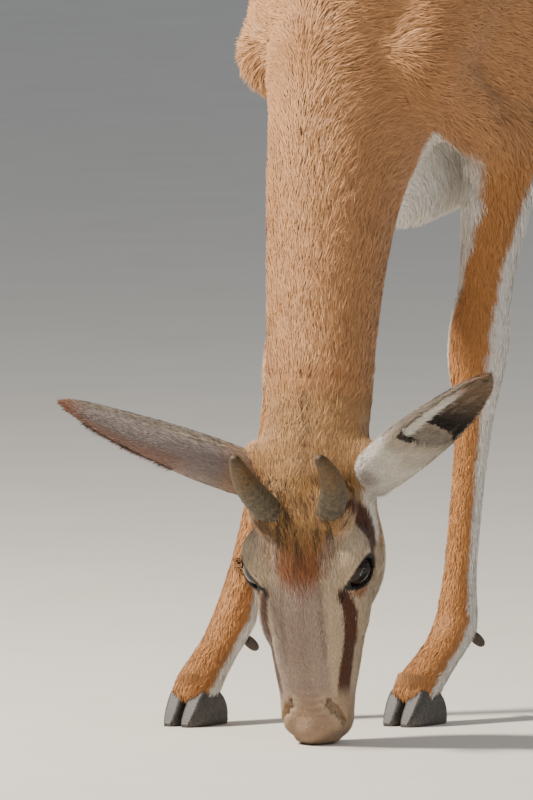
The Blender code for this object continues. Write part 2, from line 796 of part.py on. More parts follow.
def bent_slit(sign, corner, rise, drop, fall, front, middle, back):
    """A thin cutter bent round the root of a leg: up beside the body, then out over the leg.

    The corner is its x and its z at the middle y, rise is the slope of the outer part, fall is how
    much lower the whole slit lies for each millimetre further back, and front gives the y of its
    front end at a height.
    """
    x, z = corner
    out = 110.0
    profile = (
        (x, z - drop),
        (x, z),
        (out, z + rise * (out - x)),
        (out, z + rise * (out - x) + GAP * 1.25),
        (x - GAP, z + GAP),
        (x - GAP, z - drop),
    )
    points = []
    for place in (front, lambda z: back):
        for px, pz in profile:
            y = middle
            for _ in range(8):
                y = place(pz - fall * (y - middle))
            points.append((sign * px, y, pz - fall * (y - middle)))
    n = len(profile)
    faces = [(k, (k + 1) % n, n + (k + 1) % n, n + k) for k in range(n)]
    faces += [list(range(n)), list(range(n, 2 * n))]
    return points, faces


def leg_root_slits():
    """The slits round the top of each foreleg and each thigh."""
    cuts = []
    for side, sign in SIDES.items():
        y = ELBOW_Y[side] - 30
        cuts.append(bent_slit(sign, (33, 420), 0.75, 110, 0.35, neck_front, y, y + 112))
        cuts.append(bent_slit(sign, (20, 497), 0.72, 80, 0.0, lambda z: 470, 600, 730))
    return cuts


def coronet_plane(side, hind):
    """A point on the top of the hoof and the direction square to it."""
    rows = (hindleg_form(side) if hind else foreleg_form(side)).rows
    x, y, _ = rows[-1, :3]
    return np.array((x, y + 4, CORONET_HEIGHT)), unit((0, 0.3, 1))


def below(point, normal, across, deep, tall):
    """A box whose top face lies on a plane."""
    normal = unit(normal)
    along = unit(np.array((0.0, 1.0, 0.0)) - normal * normal[1])
    return block(
        np.asarray(point) - normal * tall / 2,
        (np.cross(along, normal), along, normal),
        (across, deep, tall),
    )


def build_body():
    """The whole body in one skin, parted by slits into its nodes."""
    clay = Clay((-150, -170, -20), (160, 780, 760), BODY_CELL)
    for form, blend in body_forms():
        clay.add(form, blend)
    origin, axes = frame_of_head()
    for form, blend in head_forms():
        clay.add(form.moved(-axes @ origin, axes.T), blend)
    points, faces = clay.surface()
    body = mesh_object("body", points, faces, "tan")
    thin_out(body, BODY_TRIANGLES)
    keep_largest(body)
    centre, way = neck_cut()
    sideways = unit(np.cross(way, (0, 1, 0)))
    size = np.array((200.0, 200.0, 330.0))
    headroom = block(centre + way * size[2] / 2, (sideways, np.cross(way, sideways), way), size)
    feet = []
    for side in SIDES:
        for hind in (False, True):
            feet.append(below(*coronet_plane(side, hind), 70, 110, 60))
    boolean(body, cutter_object([headroom] + feet), "DIFFERENCE")
    for cuts in (cross_slits(), leg_root_slits()):
        boolean(body, cutter_object(cuts), "DIFFERENCE")
    return body


def node_centres():
    """Where the middle of each node of the body lies."""
    centres = {
        "neck_upper": ((NECK[2][0], NECK[2][1], 310), "tan"),
        "neck_lower": ((18, 5, 410), "tan"),
        "chest": ((0, 170, 530), "tan"),
        "belly": ((0, 385, 540), "tan"),
        "croup": ((0, 590, 610), "white"),
        "tail": ((0, 735, 560), "white"),
    }
    for side in SIDES:
        fore = foreleg_form(side).rows
        hind = hindleg_form(side).rows
        places = (
            ("foreleg_%s_forearm", fore, 360, "orange"),
            ("foreleg_%s_cannon", fore, 190, "orange"),
            ("foreleg_%s_pastern", fore, 58, "orange"),
            ("hindleg_%s_thigh", hind, 500, "orange"),
            ("hindleg_%s_gaskin", hind, 375, "orange"),
            ("hindleg_%s_cannon", hind, 205, "orange"),
            ("hindleg_%s_pastern", hind, 58, "orange"),
        )
        for name, rows, height, look in places:
            i = int(np.argmin(np.abs(rows[:, 2] - height)))
            centres[name % side] = (rows[i, :3], look)
    return centres


def part_body(body):
    """One object for each node, each the largest closed surface near its place."""
    centres = node_centres()
    best = {}
    for group in islands(body):
        points, faces = island_mesh(body, group)
        volume = signed_volume(points, faces)
        middle = (points.min(axis=0) + points.max(axis=0)) / 2
        name = min(centres, key=lambda n: np.linalg.norm(np.asarray(centres[n][0]) - middle))
        if volume > best.get(name, (0,))[0]:
            best[name] = (volume, points, faces)
    bpy.data.objects.remove(body)
    return {
        name: mesh_object(name, points, faces, centres[name][1])
        for name, (_, points, faces) in best.items()
    }


def build_head():
    """The head in fine clay, cut off square behind the skull and flat where it meets the ground."""
    origin, axes = frame_of_head()
    clay = Clay((-66, -100, -60), (66, 66, 224), HEAD_CELL)
    for form, blend in head_forms():
        clay.add(form, blend)
    clay.add(neck_form().moved(origin, axes), 16)
    carve_face(clay)
    points, faces = clay.surface()
    head = mesh_object("head", points @ axes + origin, faces, "face")
    keep_largest(head)
    thin_out(head, HEAD_TRIANGLES)
    centre, way = neck_cut()
    sideways = unit(np.cross(way, (0, 1, 0)))
    behind = block(
        centre - way * (150 - GAP), (sideways, np.cross(way, sideways), way), (300, 300, 300)
    )
    boolean(head, cutter_object([behind]), "DIFFERENCE")
    boolean(head, cutter_object([block((80, -120, -20), np.eye(3), (200, 200, 40))]), "DIFFERENCE")
    return head


def tube(name, rows, sides, look, grow=0.0):
    """A closed tube of rings: each row is a centre, a radius across, and a radius the other way."""
    rows = [(np.asarray(c, dtype=float), a, b) for c, a, b in rows]
    points = []
    faces = []
    for i, (centre, a, b) in enumerate(rows):
        before = rows[max(i - 1, 0)][0]
        after = rows[min(i + 1, len(rows) - 1)][0]
        way = unit(after - before)
        across = unit(np.cross(way, (0.0, 1.0, 0.0) if abs(way[1]) < 0.8 else (1.0, 0.0, 0.0)))
        other = np.cross(way, across)
        if i == 0:
            centre = centre - way * grow
        for k in range(sides):
            angle = 2 * math.pi * k / sides
            spoke = across * math.cos(angle) * (a + grow) + other * math.sin(angle) * (b + grow)
            points.append(centre + spoke)
    for i in range(len(rows) - 1):
        for k in range(sides):
            n = (k + 1) % sides
            faces.append((i * sides + k, i * sides + n, (i + 1) * sides + n, (i + 1) * sides + k))
    faces.append(list(range(sides))[::-1])
    faces.append([(len(rows) - 1) * sides + k for k in range(sides)])
    if signed_volume(points, faces) < 0:
        faces = [list(face)[::-1] for face in faces]
    return mesh_object(name, points, faces, look)


def horn_rows(sign):
    """A short horn that leans out and back from the brow, its tip hooked a little inwards."""
    base = mirrored(HORN_BASE, sign)
    lean = 12.0 if sign < 0 else 7.0
    rows = []
    for share, radius in HORN:
        bow = math.sin(math.pi * share) * 4.0 * (1 if sign < 0 else 1.6)
        place = base + np.array((sign * (lean * share + bow), 0, 0))
        place = place + np.array((0, HORN_RISE[0], HORN_RISE[1])) * share
        rows.append((place, radius, radius))
    return rows


def to_world(rows):
    origin, axes = frame_of_head()
    return [(np.asarray(c) @ axes + origin, a, b) for c, a, b in rows]


def build_horns(head):
    for side, sign in SIDES.items():
        rows = to_world(horn_rows(sign))
        boolean(head, tube("pit", rows[:6], 12, "horn", GAP), "DIFFERENCE")
        tube("horn_" + side, rows, 12, "horn")


def ear_axes(side):
    """Axes of an ear in the head's frame: across, out of the hollow, and from root to tip."""
    way = unit(EAR_WAY[side])
    hollow = np.array(EAR_HOLLOW[side])
    hollow = unit(hollow - way * np.dot(hollow, way))
    return np.array((np.cross(hollow, way), hollow, way))


def hollow_rows():
    """Sections of the hollow of an ear, which opens some way out from its root."""
    rows = []
    for share, w, back, _ in EAR:
        if EAR_OPENS < share < 1:
            rows.append((share, w, max(back - EAR_WALL, 0.5)))
    return rows


def build_ears(head):
    """A cupped ear on each side, its root seated in the head."""
    origin, axes = frame_of_head()
    for side, sign in SIDES.items():
        turn = ear_axes(side)
        root = mirrored(EAR_ROOT, sign)
        clay = Clay((-26, -24, -4), (26, 24, EAR_LENGTH + 6), EAR_CELL)
        outer = [
            (0, -EAR_BEND * share**3, EAR_LENGTH * share, 1, 0, 0, w, back, front)
            for share, w, back, front in EAR
        ]
        clay.add(Form(outer, (3, 3), 4), 1)
        inner = [
            (0, 1.0 - EAR_BEND * share**3, EAR_LENGTH * share, 1, 0, 0, w - EAR_WALL, deep, 26)
            for share, w, deep in hollow_rows()
        ]
        clay.cut(Form(inner, (6, 3), 4), 1.5)
        points, faces = clay.surface()
        points = (points @ turn + root) @ axes + origin
        ear = mesh_object("ear_" + side, points, faces, "ear")
        keep_largest(ear)
        thin_out(ear, EAR_TRIANGLES)
        pit = []
        for share in (-0.03, 0.04, 0.12):
            place = root + turn[2] * share * EAR_LENGTH
            w = np.interp(share, [row[0] for row in EAR], [row[1] for row in EAR])
            pit.append((place, w + 0.6, w + 0.6))
        boolean(head, tube("pit", to_world(pit), 16, "ear"), "DIFFERENCE")


def eyeball(name, sign, radius):
    """A ball where the eye sits."""
    origin, axes = frame_of_head()
    centre = (mirrored(EYE_PLACE, sign) @ axes + origin) * MM
    bm = bmesh.new()
    bmesh.ops.create_icosphere(bm, subdivisions=3, radius=radius * MM)
    bmesh.ops.translate(bm, verts=bm.verts, vec=Vector(centre))
    mesh = bpy.data.meshes.new(name)
    bm.to_mesh(mesh)
    bm.free()
    ball = bpy.data.objects.new(name, mesh)
    bpy.context.scene.collection.objects.link(ball)
    mesh.materials.append(material("eye"))
    return ball


def build_eyes(head):
    """Both eyes, each in a socket a gap wider than itself."""
    for side, sign in SIDES.items():
        boolean(head, eyeball("socket", sign, EYE_RADIUS + 1.2 * GAP), "DIFFERENCE")
        eyeball("eye_" + side, sign, EYE_RADIUS)


def build_claw(name, x, sign, point, normal):
    """Half of a cloven hoof: flat below and inside, its top on the plane of the coronet."""
    heel = point[1] + 0.42 * CLAW_LENGTH
    points = []
    faces = []
    for share, outer, inner, tall in CLAW:
        y = heel - share * CLAW_LENGTH
        top = point[2] - (y - point[1]) * normal[1] / normal[2] - GAP / normal[2]
        top = min(top, tall)
        edge = (
            (x - sign * inner, 0),
            (x + sign * outer, 0),
            (x + sign * (outer - 0.06 * top), 0.5 * top),
            (x + sign * (outer - 1.5 - 0.1 * top), top),
            (x - sign * (inner - 0.6), top),
        )
        points += [(px, y, pz) for px, pz in edge]
    n = 5
    for i in range(len(CLAW) - 1):
        for k in range(n):
            m = (k + 1) % n
            faces.append((i * n + k, i * n + m, (i + 1) * n + m, (i + 1) * n + k))
    faces.append(list(range(n))[::-1])
    faces.append([(len(CLAW) - 1) * n + k for k in range(n)])
    if signed_volume(points, faces) < 0:
        faces = [face[::-1] for face in faces]
    return mesh_object(name, points, faces, "hoof")


def build_feet(nodes):
    """Two claws and two dewclaws on every foot."""
    for side, body_sign in SIDES.items():
        for leg, hind in (("foreleg", False), ("hindleg", True)):
            point, normal = coronet_plane(side, hind)
            rows = (hindleg_form(side) if hind else foreleg_form(side)).rows
            fetlock = rows[int(np.argmin(np.abs(rows[:, 2] - 70))), :3]
            for where, sign in (("outer", body_sign), ("inner", -body_sign)):
                x = point[0] + sign * 9.2
                build_claw("%s_%s_claw_%s" % (leg, side, where), x, sign, point, normal)
                start = fetlock + np.array((sign * 8.5, 10.0, -8.0))
                way = unit((sign * 0.25, 0.72, -0.62))
                cone = [(start + way * reach, r, r) for reach, r in DEWCLAW]
                holder = nodes["%s_%s_pastern" % (leg, side)]
                boolean(holder, tube("pit", cone[:3], 6, "hoof", GAP), "DIFFERENCE")
                tube("%s_%s_dewclaw_%s" % (leg, side, where), cone, 6, "hoof")


def build_tuft():
    """The dark end of the tail: flat tapered locks bound to a short core."""
    top = np.array(TUFT_TOP)
    core = [
        (top + np.array((0, 0, -drop)), r, r * 0.9)
        for drop, r in ((0, 5.8), (14, 6.4), (30, 5.4), (44, 3.6), (56, 1.6))
    ]
    tuft = tube("tail_tuft", core, 8, "black")
    locks = []
    rng = np.random.default_rng(7)
    for k in range(TUFT_LOCKS):
        angle = 2 * math.pi * k / TUFT_LOCKS
        spread = np.array((math.cos(angle), math.sin(angle), 0.0))
        start = top + np.array((0, 0, -7 - 26.0 * (k % 3) / 2)) + spread * 1.5
        long = TUFT_LENGTH * (0.62 + 0.2 * rng.random())
        rows = []
        for share, wide, thick in ((0, 3.4, 1.6), (0.3, 4.4, 1.7), (0.65, 3.2, 1.3), (1, 0.7, 0.6)):
            out = spread * (5.5 * math.sin(2.2 * share) + 0.6 * share)
            rows.append((start + out + np.array((0, 0, -long * share)), wide, thick))
        locks.append(tube("lock", rows, 4, "black"))
    join(tuft, locks)
    keep_largest(tuft)


def stand_in_the_middle():
    """Move every object so that the box around them all is centred over the origin."""
    things = [thing for thing in bpy.data.objects if thing.type == "MESH"]
    low = np.full(3, np.inf)
    high = np.full(3, -np.inf)
    for thing in things:
        for vertex in thing.data.vertices:
            low = np.minimum(low, vertex.co)
            high = np.maximum(high, vertex.co)
    shift = -(low + high) / 2
    shift[2] = 0
    for thing in things:
        for vertex in thing.data.vertices:
            vertex.co += Vector(shift)
        thing.data.shade_smooth()
        thing.data.set_sharp_from_angle(angle=math.radians(50))


for old in list(bpy.data.objects):
    bpy.data.objects.remove(old)

nodes = part_body(build_body())
head = build_head()
build_eyes(head)
build_horns(head)
build_ears(head)
keep_largest(head)
build_feet(nodes)
build_tuft()
stand_in_the_middle()
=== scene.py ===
"""A young springbok grazing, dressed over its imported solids: skin, coat, eyes, horns and hooves.

The skin repeats the solids' own forms on a finer grid and lies inside them by the depth of the coat.
Lengths here are millimetres in the frame the animal was shaped in, with its left side towards +X,
its face towards -Y and the ground at z = 0; placed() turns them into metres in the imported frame.
"""

import json
import math

import bpy
import numpy as np
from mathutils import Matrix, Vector

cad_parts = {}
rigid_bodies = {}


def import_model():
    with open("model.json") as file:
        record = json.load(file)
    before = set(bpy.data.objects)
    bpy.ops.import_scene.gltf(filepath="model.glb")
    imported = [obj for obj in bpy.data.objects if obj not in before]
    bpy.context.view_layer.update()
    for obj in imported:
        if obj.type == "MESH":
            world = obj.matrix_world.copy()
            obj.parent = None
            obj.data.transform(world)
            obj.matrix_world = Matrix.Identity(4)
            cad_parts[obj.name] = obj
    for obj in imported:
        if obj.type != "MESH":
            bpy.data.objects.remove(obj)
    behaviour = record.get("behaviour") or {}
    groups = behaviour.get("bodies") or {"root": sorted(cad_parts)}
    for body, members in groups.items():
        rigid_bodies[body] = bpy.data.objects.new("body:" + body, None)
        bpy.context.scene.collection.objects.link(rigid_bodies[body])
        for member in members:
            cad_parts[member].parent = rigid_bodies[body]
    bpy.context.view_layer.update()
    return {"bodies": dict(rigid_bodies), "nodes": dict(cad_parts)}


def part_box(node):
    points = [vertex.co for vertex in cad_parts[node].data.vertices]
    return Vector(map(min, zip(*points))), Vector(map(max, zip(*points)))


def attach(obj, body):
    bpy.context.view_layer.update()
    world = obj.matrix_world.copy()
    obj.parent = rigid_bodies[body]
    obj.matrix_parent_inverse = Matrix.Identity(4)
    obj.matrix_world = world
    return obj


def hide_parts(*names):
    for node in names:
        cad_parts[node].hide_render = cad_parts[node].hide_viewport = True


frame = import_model()

MM = 0.001
SIDES = {"left": 1.0, "right": -1.0}

# The animal's own sizes, the same as in the solids.
POLL = (83.0, -105.0, 217.6)
HEAD_HEADING = 19.0
HEAD_PITCH = 3.0
HEAD_ROLL = 1.5
EYE_RADIUS = 14.0
LID_OPENING = (12.5, 8.0, 12.0)
EYE_PLACE = (33.5, 24.5, 90.0)
EAR_LENGTH = 160.0
FORE_ELBOW_HEIGHT = 405.0
FETLOCK_HEIGHT = 76.0
ELBOW_Y = {"left": 163.0, "right": 133.0}
FETLOCK_Y = {"left": 101.0, "right": 4.0}
FETLOCK_DROP = {"left": 7.0, "right": 0.0}
HIND_SWING = {"left": 16.0, "right": -26.0}
CLAW_LENGTH = 46.0
CORONET_HEIGHT = 27.0
EAR_ROOT = (43.0, 6.0, 26.0)
EAR_WAY = {"left": (0.712, 0.569, -0.412), "right": (-0.759, 0.573, -0.309)}
EAR_HOLLOW = {"left": (0.17, 0.42, 0.89), "right": (-0.55, -0.31, 0.77)}
EAR_BEND = 9.0
EAR_OPENS = 0.3
HORN_BASE = (22.0, 40.0, 51.0)
HORN_RISE = (55.0, -42.0)
EAR_WALL = 2.4

TRUNK = (
    (30, 474, 34, 46, 38),
    (60, 494, 60, 90, 68),
    (100, 518, 74, 138, 98),
    (150, 530, 83, 168, 112),
    (210, 532, 90, 172, 130),
    (280, 533, 96, 167, 146),
    (360, 540, 100, 160, 146),
    (440, 556, 95, 152, 132),
    (510, 580, 86, 142, 110),
    (580, 604, 82, 124, 94),
    (645, 612, 72, 100, 84),
    (688, 606, 50, 60, 60),
)
KEEL = (
    (46, 436, 24, 40, 34),
    (85, 416, 26, 60, 50),
    (122, 410, 26, 60, 55),
    (165, 412, 30, 60, 51),
    (215, 420, 40, 60, 46),
    (280, 436, 55, 60, 52),
)
WITHERS = (
    (95, 640, 20, 26, 40),
    (135, 678, 22, 28, 50),
    (180, 688, 22, 26, 50),
    (240, 684, 20, 20, 40),
)
NECK = (
    (80, -100, 206, 19, 33, 30, 30),
    (73, -87, 236, 19, 37, 36, 36),
    (56, -58, 290, 17, 39, 40, 42),
    (38, -26, 346, 13, 43, 46, 50),
    (20, 11, 402, 8, 49, 56, 60),
    (6, 54, 455, 3, 56, 74, 74),
    (0, 102, 508, 0, 60, 94, 88),
    (0, 150, 548, 0, 58, 108, 88),
)
SHOULDER = (
    (36, 168, 662, 20, 34, 34),
    (52, 140, 615, 26, 48, 44),
    (60, 108, 560, 28, 50, 46),
    (62, 76, 512, 28, 40, 38),
    (62, 50, 484, 25, 28, 26),
)
FORELEG = (
    (430, 25, 44, 38, 4),
    (405, 25, 40, 34, 2),
    (372, 23, 34, 30, 1),
    (340, 20.5, 28, 26, 0),
    (312, 20, 23, 22.5, -1),
    (290, 22.5, 21.5, 22, -3),
    (270, 23.5, 21.5, 22, -3),
    (250, 21, 19.5, 20, -2),
    (228, 16, 17, 16, -1),
    (190, 13, 14, 13, 0),
    (150, 12.3, 13, 12, 0),
    (112, 12.5, 13.5, 12, 0),
    (92, 14.5, 16, 14, 0),
    (76, 16, 17, 16, 0),
)
HINDLEG = (
    (48, 615, 600, 26, 56, 60),
    (54, 604, 545, 33, 72, 70),
    (59, 582, 492, 32, 68, 60),
    (60, 572, 452, 27, 52, 44),
    (58, 594, 410, 22, 36, 31),
    (57, 620, 366, 18, 27, 23),
    (57, 645, 326, 15.5, 23, 20),
    (57, 664, 296, 17, 24, 18),
    (57, 669, 272, 17.5, 21, 17),
    (58, 666, 244, 14.5, 16, 14),
    (59, 661, 205, 12.5, 13, 12.5),
    (60, 655, 150, 12, 12.5, 12),
    (61, 651, 112, 12.5, 13, 12),
    (61, 648, 92, 14.5, 15.5, 14),
    (61, 645, 76, 16, 17, 15.5),
)
BUTTOCK = (
    (40, 655, 610, 30, 44, 40),
    (48, 662, 560, 30, 44, 40),
    (54, 648, 505, 26, 34, 40),
)
PASTERN = (
    (15, 58, 15, 15, 14),
    (32, 42, 15.5, 16, 15),
    (44, 30, 16.5, 18, 17),
    (51, 20, 17, 19, 18),
)
SKULL = (
    (213, 1, 17, 13, 15),
    (206, 1, 23.5, 19, 18),
    (196, 1, 26.5, 23, 22),
    (181, 0, 27.5, 28, 26),
    (163, 0, 30.5, 34, 31),
    (145, 0, 33, 40, 37),
    (122, 0, 37, 45, 43),
    (98, 0, 42, 47, 48),
    (72, 0, 44, 46, 50),
    (45, -2, 43, 42, 46),
    (20, -4, 39, 35, 40),
    (0, -8, 34, 26, 32),
    (-14, -14, 26, 18, 24),
)
JAW = (
    (204, -15, 12, 10, 10),
    (180, -18, 14, 12, 11),
    (150, -26, 17, 16, 12),
    (118, -36, 21, 20, 14),
    (88, -42, 25, 26, 16),
    (66, -40, 27, 28, 14),
    (50, -32, 24, 24, 12),
)
HEAD_LUMPS = (
    ((27, -20, 84), (17, 26, 32), 12),
    ((36, 26, 84), (13, 15, 20), 9),
    ((30, 8, 118), (10, 16, 26), 9),
    ((25, 36, 52), (13, 13, 14), 9),
    ((38, 3, 21), (18, 19, 19), 12),
    ((14, 11, 199), (9, 10, 11), 5),
    ((14, -6, 201), (10, 8, 12), 5),
)
NOSTRIL_CUT = ((13, 20, 188, 1.8, 1.8, 1.8), (19, 16, 195, 2.6, 2.6, 2.6), (22, 9, 204, 2.0, 2.0, 2.0))
MOUTH_CUT = (
    (29, -13, 166, 2.2, 1.0, 1.0),
    (27, -12, 182, 2.4, 1.2, 1.2),
    (24, -12, 198, 2.4, 1.3, 1.3),
    (15, -12, 211, 2.4, 1.3, 1.3),
)
EAR = (
    (0.00, 17, 15, 14),
    (0.10, 20, 16, 14),
    (0.28, 23, 16, 12),
    (0.48, 23.5, 14, 8),
    (0.68, 20.5, 10.5, 5),
    (0.85, 15, 7, 3.2),
    (0.95, 9, 4.2, 2.2),
    (1.00, 3.2, 2.2, 1.6),
)
HORN = (
    (-0.10, 8.6),
    (0.0, 10.2),
    (0.12, 10.4),
    (0.30, 10.2),
    (0.50, 9.3),
    (0.70, 7.6),
    (0.85, 5.9),
    (0.95, 4.4),
    (1.0, 2.6),
)
HOOF_WALL = (
    (0.0, 4.6, 4.2, 9.0),
    (0.06, 6.8, 7.0, 17.0),
    (0.20, 8.2, 7.9, 24.0),
    (0.42, 8.6, 8.0, 27.0),
    (0.64, 8.3, 8.0, 26.5),
    (0.74, 7.4, 8.0, 22.5),
    (0.86, 5.4, 7.4, 14.0),
    (0.95, 3.2, 6.2, 7.0),
    (1.0, 1.3, 4.6, 2.6),
)
DEWCLAW_HORN = (
    (0.0, 3.6),
    (4.0, 4.0),
    (8.0, 3.7),
    (11.0, 2.7),
    (12.6, 1.2),
)
TAIL = (
    (680, 668, 15, 13, 14),
    (708, 660, 13, 11, 12),
    (728, 636, 10, 9, 9),
    (735, 600, 8.5, 7.5, 7.5),
    (738, 550, 7.5, 6.5, 6.5),
    (739, 500, 6.5, 6, 6),
    (738, 462, 5.5, 5, 5),
)


def unit(vectors):
    """Vectors at length one."""
    vectors = np.asarray(vectors, dtype=float)
    return vectors / np.maximum(np.linalg.norm(vectors, axis=-1, keepdims=True), 1e-9)


def step(low, high, value):
    """A smooth step from 0 at low to 1 at high."""
    share = np.clip((value - low) / (high - low), 0, 1)
    return share * share * (3 - 2 * share)


def spline(rows, per_span):
    """Rows of numbers on a smooth curve through the given rows."""
    rows = np.asarray(rows, dtype=float)
    padded = np.vstack([2 * rows[0] - rows[1], rows, 2 * rows[-1] - rows[-2]])
    steps = np.arange(per_span)[:, None] / per_span
    out = []
    for i in range(len(rows) - 1):
        a, b, c, d = padded[i : i + 4]
        curve = 2 * b + (c - a) * steps + (2 * a - 5 * b + 4 * c - d) * steps**2
        curve = curve + (3 * b - a - 3 * c + d) * steps**3
        out.append(curve / 2)
    out.append(rows[-1:])
    return np.vstack(out)


class Form:
    """A solid of oval sections along a curve: x, y, z, sideways direction, half width, two reaches."""

    def __init__(self, rows, tip, per_span=3, power=2.0):
        self.rows = spline(rows, per_span) if len(rows) > 1 else np.asarray(rows, dtype=float)
        self.tip = tip
        self.power = power

    def moved(self, origin, axes):
        other = Form(self.rows, self.tip, 1, self.power)
        other.rows = self.rows.copy()
        other.rows[:, :3] = (self.rows[:, :3] - origin) @ axes.T
        other.rows[:, 3:6] = self.rows[:, 3:6] @ axes.T
        return other

    def box(self):
        reach = np.max(self.rows[:, 6:9], axis=1)[:, None] + max(self.tip)
        return (self.rows[:, :3] - reach).min(axis=0), (self.rows[:, :3] + reach).max(axis=0)

    def place(self, points):
        """How far along its rows each point lies nearest."""
        centres = self.rows[:, :3].astype(np.float32)
        nearest = np.full(len(points), np.inf, dtype=np.float32)
        along = np.zeros(len(points), dtype=np.float32)
        for i in range(len(centres) - 1):
            run = centres[i + 1] - centres[i]
            off = points - centres[i]
            share = np.clip(off @ run / (run @ run), 0, 1)
            gap = ((off - share[:, None] * run) ** 2).sum(axis=1)
            closer = gap < nearest
            nearest[closer] = gap[closer]
            along[closer] = i + share[closer]
        return along

    def at(self, along):
        """The rows, with the way they run, at places along them."""
        ways = np.gradient(self.rows[:, :3], axis=0)
        table = np.hstack([self.rows, unit(ways)])
        low = np.minimum(along.astype(int), len(table) - 2)
        part = (along - low)[:, None]
        return table[low] * (1 - part) + table[low + 1] * part

    def distance(self, points):
        along = self.place(points)
        row = self.at(along).astype(np.float32)
        off = points - row[:, :3]
        before = np.cross(row[:, 3:6], row[:, 9:12])
        side = np.abs((off * row[:, 3:6]).sum(axis=1)) / row[:, 6]
        lift = (off * before).sum(axis=1)
        lift = np.abs(lift) / np.where(lift > 0, row[:, 7], row[:, 8])
        end = np.where(along < 0.5 * (len(self.rows) - 1), self.tip[0], self.tip[1])
        beyond = (along <= 0) | (along >= len(self.rows) - 1)
        past = np.where(beyond, np.abs((off * row[:, 9:12]).sum(axis=1)) / end, 0)
        ratio = (side**self.power + lift**self.power + past**self.power) ** (1 / self.power)
        reach = np.sqrt((off**2).sum(axis=1)) + 1e-6
        return reach - reach / np.maximum(ratio, 1e-6)


class Ball:
    """An egg with its half sizes along three axes, the rows of a matrix."""

    def __init__(self, centre, sizes, axes=None):
        self.centre = np.asarray(centre, dtype=float)
        self.sizes = np.asarray(sizes, dtype=float)
        self.axes = np.eye(3) if axes is None else axes

    def moved(self, origin, axes):
        return Ball((self.centre - origin) @ axes.T, self.sizes, self.axes @ axes.T)

    def box(self):
        return self.centre - self.sizes.max(), self.centre + self.sizes.max()

    def distance(self, points):
        off = (points - self.centre) @ self.axes.T
        reach = np.sqrt((off**2).sum(axis=1)) + 1e-6
        ratio = np.sqrt(((off / self.sizes) ** 2).sum(axis=1))
        return reach - reach / np.maximum(ratio, 1e-6)


class Melt:
    """Forms melted together, asked for their distance at any points."""

    def __init__(self):
        self.steps = []

    def add(self, form, blend):
        self.steps.append((form, blend, 1.0))

    def cut(self, form, blend):
        self.steps.append((form, blend, -1.0))

    def value(self, points):
        points = points.astype(np.float32)
        field = np.full(len(points), 60.0, dtype=np.float32)
        for form, blend, way in self.steps:
            low, high = form.box()
            room = blend + 8
            near = ((points > low - room) & (points < high + room)).all(axis=1).nonzero()[0]
            if len(near) == 0:
                continue
            other = form.distance(points[near]) * way
            mine = field[near]
            mix = np.clip(0.5 + 0.5 * way * (other - mine) / blend, 0, 1)
            field[near] = other * (1 - mix) + mine * mix - way * blend * mix * (1 - mix)
        return field


CORNERS = [np.array((i, j, k)) for i in (0, 1) for j in (0, 1) for k in (0, 1)]


def skin_of(melt, low, high, cell, depth):
    """Points and four-sided faces of the surface that lies deeper than the melted forms by depth.

    The field is found roughly on a grid four times coarser, and finely only near the surface.
    """
    low = np.asarray(low, dtype=float)
    rough_cells = np.ceil((np.asarray(high) - low) / (cell * 4)).astype(int)
    grid = np.stack(np.meshgrid(*[np.arange(n + 1) for n in rough_cells], indexing="ij"), axis=-1)
    rough = melt.value((low + grid.reshape(-1, 3) * cell * 4)).reshape(rough_cells + 1)
    near = np.full(rough_cells, np.inf)
    for c in CORNERS:
        part = tuple(slice(c[k], c[k] + rough_cells[k]) for k in range(3))
        near = np.minimum(near, np.abs(rough[part]))
    near = near < 7.6 * cell
    field = np.repeat(np.repeat(np.repeat(rough[:-1, :-1, :-1], 4, 0), 4, 1), 4, 2)
    fine = np.repeat(np.repeat(np.repeat(near, 4, 0), 4, 1), 4, 2)
    where = np.argwhere(fine)
    values = []
    for start in range(0, len(where), 400000):
        points = low + where[start : start + 400000] * cell
        values.append(depth(points, melt.value(points)))
    field[fine] = np.concatenate(values)
    for axis in range(3):
        for edge in (0, -1):
            field[(slice(None),) * axis + (edge,)] = cell
    return nets(field, low, cell)


def nets(field, low, cell):
    """A smooth mesh of four-sided faces where the field is zero, one point in each crossed cell."""
    inside = field < 0
    size = np.array(field.shape) - 1
    count = np.zeros(size, dtype=np.int8)
    for c in CORNERS:
        count += inside[tuple(slice(c[k], c[k] + size[k]) for k in range(3))]
    active = (count > 0) & (count < 8)
    cells = np.argwhere(active)
    ids = np.full(size, -1)
    ids[active] = np.arange(len(cells))
    total = np.zeros((len(cells), 3))
    hits = np.zeros(len(cells))
    for a in CORNERS:
        for k in range(3):
            if a[k] == 1:
                continue
            b = a.copy()
            b[k] = 1
            one = field[tuple((cells + a).T)]
            two = field[tuple((cells + b).T)]
            crossed = (one < 0) != (two < 0)
            share = np.where(crossed, one / np.where(crossed, one - two, 1), 0)
            total[crossed] += (a + (b - a) * share[:, None])[crossed]
            hits[crossed] += 1
    points = low + cell * (cells + total / hits[:, None])
    faces = []
    for k in range(3):
        u, v = [np.eye(3, dtype=int)[(k + i) % 3] for i in (1, 2)]
        here = inside[1:-1, 1:-1, 1:-1]
        there = inside[tuple(slice(1 + (i == k), inside.shape[i] - 1 + (i == k)) for i in range(3))]
        there = there[tuple(slice(0, n) for n in here.shape)]
        for way in (True, False):
            at = np.argwhere((here != there) & (here == way)) + 1
            if len(at) == 0:
                continue
            quad = np.stack([ids[tuple((at - s).T)] for s in (0 * u, u, u + v, v)], axis=1)
            faces.append(quad if way else quad[:, ::-1])
    faces = np.vstack(faces)
    return points, faces[(faces >= 0).all(axis=1)]


